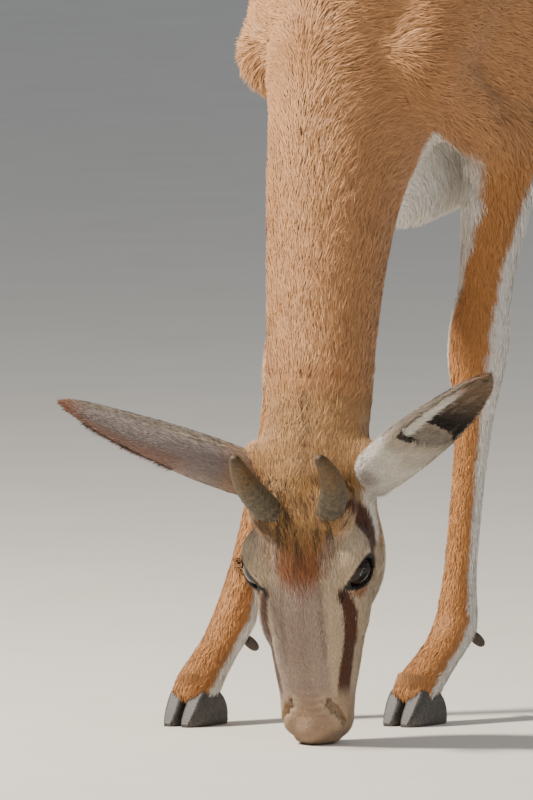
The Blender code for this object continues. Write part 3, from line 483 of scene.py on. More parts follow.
def head_frame():
    """Origin of the head at the poll, and its axes: left, out of the face, and towards the nose."""
    heading, pitch, roll = (math.radians(a) for a in (HEAD_HEADING, HEAD_PITCH, HEAD_ROLL))
    ahead = np.array((math.sin(heading), -math.cos(heading), 0.0))
    left = np.array((math.cos(heading), math.sin(heading), 0.0))
    up = np.array((0.0, 0.0, 1.0))
    face = ahead * math.cos(pitch) + up * math.sin(pitch)
    nose = ahead * math.sin(pitch) - up * math.cos(pitch)
    return np.array(POLL), np.array(
        (
            left * math.cos(roll) - nose * math.sin(roll),
            face,
            nose * math.cos(roll) + left * math.sin(roll),
        )
    )


HEAD_ORIGIN, HEAD_AXES = head_frame()


def to_head(points):
    """Points of the body seen in the head's frame."""
    return (points - HEAD_ORIGIN) @ HEAD_AXES.T


def from_head(points):
    return np.asarray(points) @ HEAD_AXES + HEAD_ORIGIN


def mirrored(place, sign):
    return np.array((sign * place[0], place[1], place[2]))


eye_low, eye_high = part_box("eye_left")
SHIFT = np.array((eye_low + eye_high) / 2) / MM - from_head(mirrored(EYE_PLACE, 1.0))
SHIFT[2] = 0.0


def placed(points):
    """Millimetres of the animal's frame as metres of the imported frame."""
    return (np.asarray(points) + SHIFT) * MM


def level_rows(rows, sign=1.0):
    """Rows of a form with level sections, from place and sizes; those without x lie in the middle."""
    rows = [(0, *row) if len(row) == 5 else row for row in rows]
    return [(sign * x, y, z, 1, 0, 0, *sizes) for x, y, z, *sizes in rows]


def neck_form():
    rows = []
    for x, y, z, turn, w, nape, throat in NECK:
        angle = math.radians(turn)
        rows.append((x, y, z, math.cos(angle), math.sin(angle), 0, w, nape, throat))
    return Form(rows, (20, 30), 6)


def foreleg_form(side):
    sign = SIDES[side]
    slope = (ELBOW_Y[side] - FETLOCK_Y[side]) / (FORE_ELBOW_HEIGHT - FETLOCK_HEIGHT)
    low = 1 - FETLOCK_DROP[side] / FETLOCK_HEIGHT
    rows = []
    for z, w, back, front, offset in FORELEG:
        y = FETLOCK_Y[side] + (z - FETLOCK_HEIGHT) * slope + offset
        x = sign * (64 - 6 * (z - FETLOCK_HEIGHT) / FORE_ELBOW_HEIGHT)
        z -= FETLOCK_DROP[side] * min(1.0, max(0.0, (170 - z) / (170 - FETLOCK_HEIGHT)))
        rows.append((x, y, z, 1, 0, 0, w, back, front))
    for ahead, z, w, back, front in PASTERN:
        ahead *= 2 - low
        rows.append((sign * 65, FETLOCK_Y[side] - ahead, z * low, 1, 0, 0, w, back, front))
    return Form(rows, (20, 8), 2)


def hindleg_form(side):
    sign = SIDES[side]
    rows = []
    for x, y, z, w, back, front in HINDLEG:
        y += HIND_SWING[side] * (1 - z / HINDLEG[0][2])
        rows.append((sign * x, y, z, 1, 0, 0, w, back, front))
    fetlock = rows[-1][1]
    for ahead, z, w, back, front in PASTERN:
        rows.append((sign * 62, fetlock - ahead, z, 1, 0, 0, w, back, front))
    return Form(rows, (24, 8), 2)


def tail_form():
    return Form(level_rows(TAIL), (10, 5), 3)


def body_forms():
    forms = [
        (Form(level_rows(TRUNK), (26, 22), 9, 2.2), 10),
        (Form(level_rows(KEEL), (14, 30), 2), 26),
        (Form(level_rows(WITHERS), (20, 30), 2), 26),
        (neck_form(), 30),
    ]
    for side, sign in SIDES.items():
        elbow_y = ELBOW_Y[side]
        swing = HIND_SWING[side] * 0.4
        upper = (
            (62, 52, 482, 23, 26, 24),
            (60, 60 + 0.5 * (elbow_y - 60), 446, 24, 27, 26),
            (58, elbow_y + 12, 412, 22, 26, 26),
        )
        triceps = (
            (52, 176, 590, 20, 30, 34),
            (58, 172, 530, 25, 38, 44),
            (58, elbow_y + 14, 470, 24, 34, 42),
            (58, elbow_y + 12, 412, 20, 24, 26),
        )
        tendon = (
            (57, 612 + swing, 440, 8, 8, 14),
            (57, 633 + swing, 398, 7, 8, 12),
            (57, 658 + swing, 352, 6, 7, 9),
            (57, 679 + swing * 1.2, 313, 7.5, 6.5, 8),
            (57, 682 + swing * 1.3, 296, 8, 6, 10),
        )
        forms += [
            (Form(level_rows(SHOULDER, sign), (24, 20), 3), 22),
            (Form(level_rows(upper, sign), (14, 14), 3), 16),
            (Form(level_rows(triceps, sign), (18, 14), 3), 20),
            (foreleg_form(side), 12),
            (hindleg_form(side), 24),
            (Form(level_rows(tendon, sign), (8, 8), 3), 9),
            (Form(level_rows(BUTTOCK, sign), (20, 24), 3), 22),
        ]
    forms.append((tail_form(), 7))
    return forms


def head_forms():
    skull, jaw = (
        level_rows([(0, lift, t, *sizes) for t, lift, *sizes in rows]) for rows in (SKULL, JAW)
    )
    forms = [(Form(skull, (6, 10), 3, 2.15), 8), (Form(jaw, (7, 12), 3), 10)]
    for sign in SIDES.values():
        forms += [(Ball(mirrored(place, sign), sizes), blend) for place, sizes, blend in HEAD_LUMPS]
    forms.append((Ball((0, 12, 207), (13, 13, 11)), 6))
    forms.append((Ball((0, -20, 201), (13, 9, 13)), 5))
    return forms


def eye_axes(sign):
    """Axes of an eye: along the lids, across them, and out of the pupil."""
    out = unit((sign * 0.80, 0.46, 0.38))
    along = unit(np.cross((sign * 0.45, 0.9, 0.1), out)) * sign
    return np.array((along, np.cross(out, along), out))


def body_melt():
    melt = Melt()
    for form, blend in body_forms():
        melt.add(form, blend)
    for form, blend in head_forms():
        melt.add(form.moved(-HEAD_AXES @ HEAD_ORIGIN, HEAD_AXES.T), blend)
    return melt


def head_melt():
    """The head in its own frame, with lids, eye sockets, nostrils and the line of the mouth."""
    melt = Melt()
    for form, blend in head_forms():
        melt.add(form, blend)
    melt.add(neck_form().moved(HEAD_ORIGIN, HEAD_AXES), 16)
    for sign in SIDES.values():
        eye = mirrored(EYE_PLACE, sign)
        axes = eye_axes(sign)
        melt.add(Ball(eye, [EYE_RADIUS + 2.8] * 3), 5)
        melt.cut(Ball(eye, [EYE_RADIUS - 0.2] * 3), 0.4)
        melt.cut(Ball(eye + axes[2] * 15, LID_OPENING, axes), 1.0)
        for rows in (NOSTRIL_CUT, MOUTH_CUT):
            melt.cut(Form(level_rows(rows, sign), (2, 2), 4), 1.5)
    return melt


def ear_axes(side):
    """Axes of an ear in the head's frame: across, out of the hollow, and from root to tip."""
    way = unit(EAR_WAY[side])
    hollow = np.array(EAR_HOLLOW[side])
    hollow = unit(hollow - way * np.dot(hollow, way))
    return np.array((np.cross(hollow, way), hollow, way))


def ear_melt():
    melt = Melt()
    outer = [
        (0, -EAR_BEND * t**3, EAR_LENGTH * t, 1, 0, 0, w, back, front) for t, w, back, front in EAR
    ]
    melt.add(Form(outer, (3, 3), 4), 1)
    inner = [
        (0, 1 - EAR_BEND * t**3, EAR_LENGTH * t, 1, 0, 0, w - EAR_WALL, max(back - EAR_WALL, 0.5), 26)
        for t, w, back, _ in EAR
        if EAR_OPENS < t < 1
    ]
    melt.cut(Form(inner, (6, 3), 4), 1.5)
    return melt


def from_ear(points, side):
    root = mirrored(EAR_ROOT, SIDES[side])
    return from_head(np.asarray(points) @ ear_axes(side) + root)


# Build the skin.

FACE_COAT = 0.9
BODY_COAT = 2.8
LEG_COAT = 1.1
BODY_SKIN_CELL = 4.2
HEAD_SKIN_CELL = 1.5
EAR_SKIN_CELL = 1.3
HEAD_REACH_BACK = 110.0
HEAD_REACH_ASIDE = 80.0
BODY_ENDS = -38.0
HEAD_ENDS = -62.0


def coat_depth(points):
    """How deep the skin lies under the outline of the coat."""
    return LEG_COAT + (BODY_COAT - LEG_COAT) * step(230, 420, points[:, 2])


def near_head(local):
    """Whether places in the head's frame are by the head and not by a leg behind it."""
    return (local[:, 1] > -HEAD_REACH_BACK) & (np.abs(local[:, 0]) < HEAD_REACH_ASIDE)


def body_depth(points, value):
    """The body's skin, which ends inside the head."""
    local = to_head(points)
    value = value + coat_depth(points)
    inside_head = near_head(local)
    return np.where(inside_head, np.maximum(value, local[:, 2] - BODY_ENDS), value)


def head_depth(points, value):
    """The head's skin, which dives under the body's skin behind the poll."""
    body = from_head(points)
    dive = 1.5 * step(BODY_ENDS, HEAD_ENDS, points[:, 2])
    thin = step(150, 60, points[:, 2])
    depth = 0.5 + (FACE_COAT - 0.5) * thin
    depth = depth + (coat_depth(body) - FACE_COAT) * step(20, -38, points[:, 2])
    folds = (points[:, 2] + 0.06 * points[:, 0] ** 2 / 6) * 1.15
    folds = np.sin(folds + 1.2 * value_noise(points, 9.0, 71))
    over_nose = step(178, 186, points[:, 2]) * step(203, 196, points[:, 2]) * step(12, 18, points[:, 1])
    value = value + depth + dive + 0.45 * over_nose * np.maximum(folds, -0.6)
    value = np.maximum(value, HEAD_ENDS - points[:, 2])
    return np.maximum(value, 0.6 - body[:, 2])


def ear_depth(points, value):
    return value + 0.2


def value_noise(points, scale, seed):
    """Smooth noise between -1 and 1, with lumps of about the given size in millimetres."""
    places = points / scale
    base = np.floor(places).astype(np.int64)
    part = places - base
    part = part * part * (3 - 2 * part)
    total = np.zeros(len(points))
    for c in CORNERS:
        cell = base + c
        mixed = cell[:, 0] * 73856093 ^ cell[:, 1] * 19349663 ^ cell[:, 2] * 83492791 ^ seed * 2654435
        mixed = (mixed ^ (mixed >> 13)) * 1274126177
        mixed = (mixed ^ (mixed >> 16)) & 0xFFFF
        weight = np.prod(np.where(c == 1, part, 1 - part), axis=1)
        total += weight * (mixed / 32767.5 - 1)
    return total


def linear(code):
    """An sRGB hex colour as linear red, green and blue."""
    parts = np.array([int(code[i : i + 2], 16) / 255 for i in (1, 3, 5)])
    return np.where(parts <= 0.04045, parts / 12.92, ((parts + 0.055) / 1.055) ** 2.4)


CINNAMON = linear("#BD8858")
BACK_BROWN = linear("#A97443")
PALE_TAN = linear("#D9B48C")
FLANK_BROWN = linear("#4A2A18")
WHITE_FUR = linear("#EFE9E0")
SHIN_ORANGE = linear("#BD8148")
CREAM = linear("#C9B295")
STRIPE_BROWN = linear("#4F240B")
RUFOUS = linear("#8C4A19")
WEDGE_GOLD = linear("#A47740")
DARK_HAIR = linear("#2E1D12")
CROWN_GOLD = linear("#B78A5A")
BRIDGE_GREY = linear("#9C867B")
NOSE_TAN = linear("#A98A6C")
LID_BLACK = linear("#17100C")
TEMPLE_GREY = linear("#BEA98C")
EAR_BEIGE = linear("#B2A390")
# The ear's beige back, darkened as painted shade for the right ear.
EAR_BACK_PAINTED_SHADE = linear("#86796A")
EAR_MAUVE = linear("#A0908A")
# Dark skin of the ear hollow, darkened further as painted shade.
EAR_HOLLOW_SKIN_AND_SHADE = linear("#1E1611")
EAR_HOLLOW_BROWN = linear("#7A6248")
EAR_DARK = linear("#3A302A")
TUFT_BLACK = linear("#15100D")
NOSTRIL_GREY = linear("#6A5850")
NOSTRIL_DARK = linear("#2A1F1B")

STRIPE_UPPER = ((37, 36, 51), (39, 25, 55), (42, 18, 61), (44, 11, 68), (46, 8, 76), (48, 16, 82))
STRIPE_LOWER = ((29, 32, 112), (32, 25, 124), (30, 20, 143), (28, 18, 155), (25, 17, 172), (24, 13, 190))
# Each stripe has its line, its half width, its flattening out of the face, and whether it fades.
STRIPES = ((STRIPE_UPPER, 5.4, 0.45, False), (STRIPE_LOWER, 4.7, 0.62, True))
TEMPLE_LINE = ((38, 8, 44), (44, 2, 56), (47, -4, 68))
CHEEK_LINE = ((45, -20, 40), (49, -18, 56), (50, -12, 74))
EYE_CORNER = ((33, 33, 100), (29, 33, 115))
RUFOUS_PATCH = (38, 21, 108)
NOSTRIL = ((13, 20, 188), (19, 16, 195), (22, 9, 204))


def path_distance(points, path):
    """Distance to a line through points, and how far along it, from 0 to 1."""
    path = np.asarray(path, dtype=float)
    best = np.full(len(points), np.inf)
    along = np.zeros(len(points))
    for i in range(len(path) - 1):
        run = path[i + 1] - path[i]
        share = np.clip((points - path[i]) @ run / (run @ run), 0, 1)
        gap = np.linalg.norm(points - path[i] - share[:, None] * run, axis=1)
        closer = gap < best
        best[closer] = gap[closer]
        along[closer] = (i + share[closer]) / (len(path) - 1)
    return best, along


def lay(colour, *layers):
    """Colours with other colours laid over them one by one, each as far as its mask says."""
    for other, mask in layers:
        colour = colour + (other - colour) * mask[:, None]
    return colour


def lid_share(folded):
    """How far out from the middle of the left eye's opening, 1 on the edge of the lids."""
    off = (folded - mirrored(EYE_PLACE, 1.0)) @ eye_axes(1.0).T
    share = np.hypot(off[:, 0] / LID_OPENING[0], off[:, 1] / LID_OPENING[1])
    return np.where(off[:, 2] > 0, share, 9.0)


def head_colour(local):
    """Markings of the head, in its own frame, seen as if every place lay on its left side."""
    s, q, t = local.T
    side = np.abs(s)
    folded = np.stack([side, q, t], axis=1)
    wobble = value_noise(local, 5.0, 3)
    tint = 0.5 + 0.5 * value_noise(local, 16.0, 5)
    # Crown and nape are golden tan with dark partings, the tan fading out over the temples.
    crown = step(62, 34, t + 0.25 * side + 3 * wobble) * step(-34, 4, q + 3 * wobble + 0.4 * t * (t < 0))
    crown = np.maximum(crown, step(6, -18, t + 2 * wobble))
    gap = value_noise(local * np.array((1, 1, 0.3)), 3.4, 18)
    speckle = value_noise(local * np.array((1, 1, 0.35)), 1.3, 14)
    brow = step(118, 100, t) * step(44, 56, t) * step(0, 14, q)
    # Forehead, a golden wedge from between the horns down to a rufous point on the bridge.
    edge = 39 * np.clip((118 - t) / 72, 0, 1) ** 0.66
    wedge = step(8, -7, side - edge + 3.5 * wobble) * step(24, 36, t) * step(10, 24, q)
    gold = lay(np.tile(WEDGE_GOLD, (len(local), 1)), (RUFOUS, step(62, 102, t + 3 * wobble)))
    streak = value_noise(local * np.array((1, 1, 0.16)), 2.3, 8)
    streaked = wedge * step(-0.15, 0.45, streak) * step(124, 70, t)
    # Bridge of the nose, grey brown with a thin painted shadow line beside it, and the tan of the nose
    # itself.
    across = np.where(s > 0, side, side - 7) + 1.5 * wobble
    bridge = step(20, 13, across) * step(98, 118, t) * step(0, 18, q)
    # A thin line of painted shadow between the bridge and the cheek.
    bridge_side_shadow = step(2.6, 0.6, np.abs(side - 14.5)) * step(98, 110, t) * step(172, 150, t) * step(0, 10, q)
    speck = value_noise(local, 1.6, 12)
    nose = step(176, 194, t + 1.5 * wobble) * step(-10, 4, q)
    lip = step(4.5, 2, np.abs(q + 12)) * step(150, 168, t)
    slit, _ = path_distance(local * np.where(s > 0, 1, -1)[:, None] ** (1, 0, 0), NOSTRIL)
    pad = step(10, 6, slit) * step(14, 20, q + 0.3 * (t - 196))
    temple, _ = path_distance(folded, TEMPLE_LINE)
    cheek, _ = path_distance(folded, CHEEK_LINE)
    colour = lay(
        np.tile(CREAM, (len(local), 1)),
        (TEMPLE_GREY, 0.5 * tint),
        (CROWN_GOLD, crown),
        (DARK_HAIR, crown * step(0.3, 0.85, gap) * step(-30, 10, t) * 0.4),
        (DARK_HAIR, brow * step(0.1, 0.8, speckle) * 0.30),
        (gold, wedge * 0.92),
        (DARK_HAIR, streaked * 0.8),
        (BRIDGE_GREY, bridge * 0.85),
        # painted shadow beside the bridge
        (NOSTRIL_GREY, bridge_side_shadow * 0.45),
        (CREAM, bridge * step(0.25, 0.8, speck) * 0.5),
        (NOSE_TAN, nose * 0.8),
        (NOSTRIL_GREY, lip * 0.55),
        (CREAM, pad * 0.3),
        (NOSTRIL_DARK, step(2.9, 1.6, slit) * 0.8),
        (WHITE_FUR, step(11, 6, temple + wobble) * 0.85),
        (CROWN_GOLD, step(11, 5, cheek + wobble) * 0.9),
    )
    # Dark stripe from the horn past the eye to the corner of the mouth.
    for path, half, flat, fades in STRIPES:
        squeeze = np.array((1, flat, 1))
        gap, along = path_distance(folded * squeeze, np.array(path) * squeeze)
        fade = step(1.0, 0.82, along) if fades else 1.0
        mask = step(half + 0.8, half - 0.8, gap + 0.5 * wobble) * fade
        colour = lay(colour, (STRIPE_BROWN, mask * 0.97))
    # Pale hair over the eye and rufous hair under it, black lids, and white along the jaw.
    from_eye = np.linalg.norm(folded - mirrored(EYE_PLACE, 1.0), axis=1)
    over = step(6, 2, np.abs(from_eye - EYE_RADIUS - 9)) * step(14, 26, q - 0.15 * (t - 90))
    over = over * step(108, 92, t)
    under = step(8.5, 3, np.linalg.norm((folded - RUFOUS_PATCH) * (1, 0.6, 1), axis=1))
    corner, _ = path_distance(folded, EYE_CORNER)
    rim = step(1.36, 1.24, lid_share(folded)) * step(EYE_RADIUS + 5, EYE_RADIUS + 4, from_eye)
    return lay(
        colour,
        (WHITE_FUR, over * 0.12),
        (RUFOUS, under * 0.85),
        (LID_BLACK, np.maximum(rim, step(2.6, 1.6, corner))),
        (WHITE_FUR, step(-14, -34, q) * step(0, 30, t) * 0.8),
    )


def leg_orange(points, axis_x, axis_y, sign, z):
    """How orange a leg is: on its front and outer side, white behind and inside."""
    angle = np.degrees(np.arctan2(-(points[:, 1] - axis_y), sign * (points[:, 0] - axis_x)))
    heights = (60, 118, 230, 290, 310, 337, 353, 380, 430)
    start = np.interp(z, heights, (12, 22, 36, 33, 28, 18, 3, -4, -60))
    end = np.interp(z, heights, (140, 150, 150, 135, 116, 100, 86, 75, 84))
    end = end + np.where(sign < 0, 26, 0)
    fuzz = 4 * value_noise(points, 5.0, 21)
    return step(start - 9, start + 9, angle + fuzz) * step(end + 9, end - 9, angle + fuzz)


def body_colour(points):
    """Markings of the body: cinnamon above, a dark band on the flank, white below and behind."""
    x, y, z = points.T
    side = np.abs(x)
    trunk = np.array(TRUNK, dtype=float)
    middle, rise, drop = (np.interp(y, trunk[:, 0], trunk[:, k]) for k in (1, 3, 4))
    height = (z - middle + drop) / (rise + drop)
    wobble = value_noise(points, 14.0, 31)
    line = np.interp(y, (130, 190, 300, 430, 520, 600), (0.16, 0.27, 0.31, 0.31, 0.33, 0.30))
    edge = height - line + 0.012 * wobble
    white = step(0.012, -0.012, edge) * step(188, 212, y) * step(600, 540, y + 0.3 * (z - 430))
    dark = step(-0.012, 0.008, edge) * step(0.155, 0.115, edge) * step(190, 225, y) * step(590, 540, y)
    chest = step(58, 50, side + 3 * wobble) * step(444, 428, z + 4 * wobble) * step(60, 80, y)
    white = np.maximum(white, chest * step(300, 220, y))
    # White rump with a fold of white hair forward along the spine, edged with brown.
    patch = y - (578 + 1.25 * side + 0.45 * np.clip(560 - z, 0, 200) - 5 * wobble)
    fold = step(9, 6, side) * step(440, 480, y) * (z > 600) * step(600, 560, y)
    colour = lay(
        np.tile(CINNAMON, (len(points), 1)),
        (BACK_BROWN, step(0.72, 0.98, height + 0.03 * wobble) * (y > 40) * 0.7),
        (FLANK_BROWN, dark * 0.93),
        (WHITE_FUR, white),
        (STRIPE_BROWN, step(9, 5, np.abs(patch + 6)) * (z > 430) * 0.6),
        (WHITE_FUR, step(-3, 3, patch) * (z > 380)),
        (WHITE_FUR, fold),
    )
    # Legs.
    for side_name, sign in SIDES.items():
        for form, top, mine, reach in (
            (foreleg_form(side_name), 428, y < 300, 58),
            (hindleg_form(side_name), 470, y > 470, 96),
        ):
            rows = form.rows[::-1]
            axis_x, axis_y = (np.interp(z, rows[:, 2], rows[:, k]) for k in (0, 1))
            here = mine & (x * sign > 0)
            gap = np.hypot(points[:, 0] - axis_x, points[:, 1] - axis_y)
            mask = step(top, top - 34, z - 6 * wobble) * here * step(reach, reach - 14, gap)
            orange = leg_orange(points, axis_x, axis_y, sign, np.where(y > 470, z - 90, z))
            leg = lay(np.tile(WHITE_FUR, (len(points), 1)), (SHIN_ORANGE, orange))
            colour = lay(colour, (leg, mask))
    # Neck paler along the throat, and the white of the tail.
    throat = step(-0.55, -0.95, neck_side(points)) * (y < 60) * (z > 240)
    return lay(colour, (PALE_TAN, throat * 0.8), (WHITE_FUR, (y > 712).astype(float)))


NECK_FORM = neck_form()


def neck_side(points):
    """From 1 on the nape to -1 on the throat."""
    row = NECK_FORM.at(NECK_FORM.place(points.astype(np.float32)))
    off = points - row[:, :3]
    before = np.cross(row[:, 3:6], row[:, 9:12])
    return (unit(off) * before).sum(axis=1)


def coat_colour(points):
    """Markings at any place on head or body."""
    local = to_head(points)
    share = step(-34, -14, local[:, 2]) * near_head(local)
    colour = body_colour(points)
    mask = share > 0
    if mask.any():
        face = head_colour(local[mask])
        colour[mask] += (face - colour[mask]) * share[mask, None]
    s, q, t = local.T
    waver = 2.5 * value_noise(local, 14.0, 61)
    parting = step(3.6, 0.8, np.abs(s + 1 + waver)) * step(-34, -18, t) * step(32, 22, t) * (q > -20)
    return lay(colour, (DARK_HAIR, parting * 0.7 * near_head(local)))


def ear_colour(points, side):
    """Markings of an ear in its own frame: pale back, painted shade over the right ear's back, white
    root, dark rim, and a dark hollow deepened with painted shade.
    """
    x, y, z = points.T
    share = z / EAR_LENGTH
    width, back = (np.interp(share, [row[0] for row in EAR], [row[k] for row in EAR]) for k in (1, 2))
    across = x / width
    half_wall = EAR_WALL / 2
    round_off = np.sqrt(np.clip(1 - (x / (width - half_wall)) ** 2, 0, 1))
    floor = -EAR_BEND * share**3 - (back - half_wall) * round_off
    opening = 0.455 - 0.03 * across + 0.01 * value_noise(points, 3.0, 57)
    inside = (y > floor) & (np.abs(across) < 0.93) & (share > opening)
    streak = value_noise(points * np.array((1, 1, 0.15)), 2.6, 53)
    root = step(0.46, 0.16, share + 0.05 * value_noise(points, 12.0, 51))
    # The right ear's back is darker than the left's: painted shade.
    base = EAR_BACK_PAINTED_SHADE if side == "right" else EAR_BEIGE
    colour = lay(np.tile(base, (len(points), 1)), (EAR_DARK, step(0.0, 0.8, streak) * 0.35))
    if side == "right":
        fold = step(0.05, 0.015, np.abs(across - 0.12 + 0.25 * share)) * step(0.06, 0.12, share)
        colour = lay(
            colour,
            (EAR_MAUVE, step(0.1, -0.2, across + 0.1 * streak) * 0.8),
            (CREAM, fold * step(0.55, 0.42, share) * 0.8),
            (EAR_DARK, step(0.5, 0.85, across) * step(0.15, 0.4, share) * 0.75),
            (RUFOUS, step(-0.7, -0.95, across) * step(0.3, 0.5, share) * 0.4),
            (CROWN_GOLD, root * step(0.25, 0.1, share) * 0.5),
        )
    else:
        grey = step(11, 4, np.linalg.norm((points - (12, 10, 14)) * (1, 0.6, 1), axis=1))
        colour = lay(
            colour,
            (WHITE_FUR, root * 0.9),
            (NOSTRIL_GREY, grey * 0.4),
            (EAR_DARK, step(0.86, 0.98, np.abs(across)) * step(0.35, 0.5, share) * 0.45),
        )
    colour = lay(colour, (RUFOUS, step(0.84, 1.0, share) * 0.7))
    # Inside the hollow: dark skin darkened further with painted shade, browner towards the tip, with
    # pale streaks.
    hollow = lay(
        np.tile(EAR_HOLLOW_SKIN_AND_SHADE, (len(points), 1)),
        (EAR_HOLLOW_BROWN, step(0.45, 0.85, share + 0.1 * across)),
        (EAR_BEIGE, step(0.15, 0.7, streak) * step(0.4, 0.7, share) * 0.4),
    )
    return np.where(inside[:, None], hollow, colour)


# The lie of the coat.


def lie_guides():
    """Places inside the animal with the way the hair lies around them, and how far each reaches."""
    guides = []
    trunk = np.array(TRUNK, dtype=float)
    for y in range(60, 700, 40):
        middle = np.interp(y, trunk[:, 0], trunk[:, 1])
        guides.append(((0, y, middle + 50), (0, 1, 0.02), 95))
        for sign in SIDES.values():
            guides.append(((sign * 60, y, middle - 20), (0, 1, -0.3), 80))
    neck = np.array([row[:3] for row in NECK], dtype=float)
    for i in range(len(neck) - 1):
        guides.append(((neck[i] + neck[i + 1]) / 2, unit(neck[i + 1] - neck[i]), 58))
    for t in range(-10, 220, 22):
        guides.append((from_head((0, 0, t)), unit(np.array((0, 0.08, -1.0)) @ HEAD_AXES), 38))
    for side in SIDES:
        for form, top in ((foreleg_form(side), 440), (hindleg_form(side), 560)):
            rows = form.rows[form.rows[:, 2] < top]
            for i in range(0, len(rows) - 1, 2):
                way = unit(rows[i + 1, :3] - rows[i, :3])
                guides.append((rows[i, :3], way, 34 if rows[i, 2] < 400 else 60))
    rows = tail_form().rows[4:]
    for i in range(0, len(rows) - 1, 2):
        guides.append((rows[i, :3], unit(rows[i + 1, :3] - rows[i, :3]), 14))
    places, ways, reaches = zip(*guides)
    return np.array(places), np.array(ways), np.array(reaches, dtype=float)


GUIDE_PLACES, GUIDE_WAYS, GUIDE_REACHES = lie_guides()


def lie_of_coat(points):
    """The way the hair lies at each point."""
    total = np.zeros((len(points), 3))
    for place, way, reach in zip(GUIDE_PLACES, GUIDE_WAYS, GUIDE_REACHES):
        gap = ((points - place) ** 2).sum(axis=1) / reach**2
        total += np.exp(-np.minimum(gap, 60))[:, None] * way
        total += 1e-9 * way / (1 + gap[:, None])
    return unit(total)


def body_hair(points):
    """Length and width of the tufts, and how far they stand up, over the body and head."""
    local = to_head(points)
    z = points[:, 2]
    y = points[:, 1]
    trunk = step(300, 430, z) * (y > 0)
    neck = step(200, 300, z) * (y < 60)
    big = np.maximum(trunk, neck)
    length = 7.0 + 6.0 * big + 1.5 * trunk
    width = 0.62 + 0.26 * big + 0.25 * trunk
    rise = 0.14 + 0.02 * big
    head = near_head(local) & (local[:, 2] > -34)
    t = local[:, 2]
    s = np.abs(local[:, 0])
    face = 2.2 + 3.2 * step(190, 110, t)
    crown = step(75, 40, t) * step(-10, 12, local[:, 1])
    fore = step(122, 95, t) * step(34, 22, s) * step(14, 28, local[:, 1])
    face = face + 4.5 * np.maximum(crown, 0.55 * fore)
    face = face + 5.0 * step(15, -30, t)
    length = np.where(head, face, length)
    width = np.where(head, 0.34 + 0.026 * face, width)
    rise = np.where(head, 0.16 + 0.10 * np.maximum(crown, fore), rise)
    return length, width, rise


def ear_hair(points):
    share = points[:, 2] / EAR_LENGTH
    inside = step(-1.0, 0.6, points[:, 1])
    length = 5.0 + 2.0 * step(0.3, 0.0, share) - 1.5 * inside
    return length, 0.5 + 0 * length, 0.14 + 0 * length


# Meshes.


def triangles_of(points, faces):
    return np.vstack([faces[:, [0, 1, 2]], faces[:, [0, 2, 3]]]) if faces.shape[1] == 4 else faces


def vertex_normals(points, faces):
    tri = triangles_of(points, faces)
    cross = np.cross(points[tri[:, 1]] - points[tri[:, 0]], points[tri[:, 2]] - points[tri[:, 0]])
    total = np.zeros_like(points)
    for k in range(3):
        for c in range(3):
            total[:, c] += np.bincount(tri[:, k], cross[:, c], len(points))
    return unit(total)


def mesh_piece(name, points, faces, look, colours=None, normals=None, spots=None, strands=None):
    """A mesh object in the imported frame, made from arrays."""
    mesh = bpy.data.meshes.new(name)
    faces = np.asarray(faces)
    corners = faces.shape[1]
    mesh.vertices.add(len(points))
    mesh.vertices.foreach_set("co", placed(points).astype(np.float32).ravel())
    mesh.loops.add(faces.size)
    mesh.loops.foreach_set("vertex_index", faces.astype(np.int32).ravel())
    mesh.polygons.add(len(faces))
    mesh.polygons.foreach_set("loop_start", np.arange(0, faces.size, corners, dtype=np.int32))
    mesh.update(calc_edges=True)
    if colours is not None:
        layer = mesh.color_attributes.new("coat", "FLOAT_COLOR", "POINT")
        full = np.ones((len(points), 4), dtype=np.float32)
        full[:, :3] = np.clip(colours, 0, 1)
        layer.data.foreach_set("color", full.ravel())
    if spots is not None:
        layer = mesh.uv_layers.new(name="OFBake")
        layer.data.foreach_set("uv", spots[faces.ravel()].astype(np.float32).ravel())
    if strands is not None:
        layer = mesh.attributes.new("strand", "FLOAT2", "POINT")
        layer.data.foreach_set("vector", strands.astype(np.float32).ravel())
    if normals is not None:
        mesh.normals_split_custom_set_from_vertices(normals.astype(np.float32))
    else:
        mesh.shade_smooth()
    thing = bpy.data.objects.new(name, mesh)
    bpy.context.scene.collection.objects.link(thing)
    mesh.materials.append(look)
    return thing


def smooth_points(points, faces, rounds):
    """Points moved a little towards their neighbours, to take the grid out of the surface."""
    edges = np.vstack([faces[:, [i, (i + 1) % faces.shape[1]]] for i in range(faces.shape[1])])
    edges = np.vstack([edges, edges[:, ::-1]])
    count = np.bincount(edges[:, 0], minlength=len(points))[:, None]
    for _ in range(rounds):
        total = np.zeros_like(points)
        for c in range(3):
            total[:, c] = np.bincount(edges[:, 0], points[edges[:, 1], c], len(points))
        points = points + 0.5 * (total / np.maximum(count, 1) - points)
    return points


def scatter(points, faces, density, rng):
    """Root places on a mesh with the outward way there, as many as the density per square mm asks."""
    tri = triangles_of(points, faces)
    normals = vertex_normals(points, faces)
    a, b, c = (points[tri[:, k]] for k in range(3))
    area = 0.5 * np.linalg.norm(np.cross(b - a, c - a), axis=1)
    wanted = area * density((a + b + c) / 3)
    count = np.floor(wanted + rng.random(len(tri))).astype(int)
    which = np.repeat(np.arange(len(tri)), count)
    u, v = rng.random((2, len(which), 1))
    over = (u + v > 1)[:, 0]
    u[over], v[over] = 1 - u[over], 1 - v[over]
    a, b, c = a[which], b[which], c[which]
    corners = tri[which]
    out = normals[corners[:, 0]] * (1 - u - v) + normals[corners[:, 1]] * u + normals[corners[:, 2]] * v
    return a + (b - a) * u + (c - a) * v, unit(out)


# A tuft is darker at its root, and its patch on the unwrap is 0.003 across.
TUFT_SHADES = (0.74, 0.74, 0.97, 0.97, 1.08)
PATCH_HALF = 0.0015


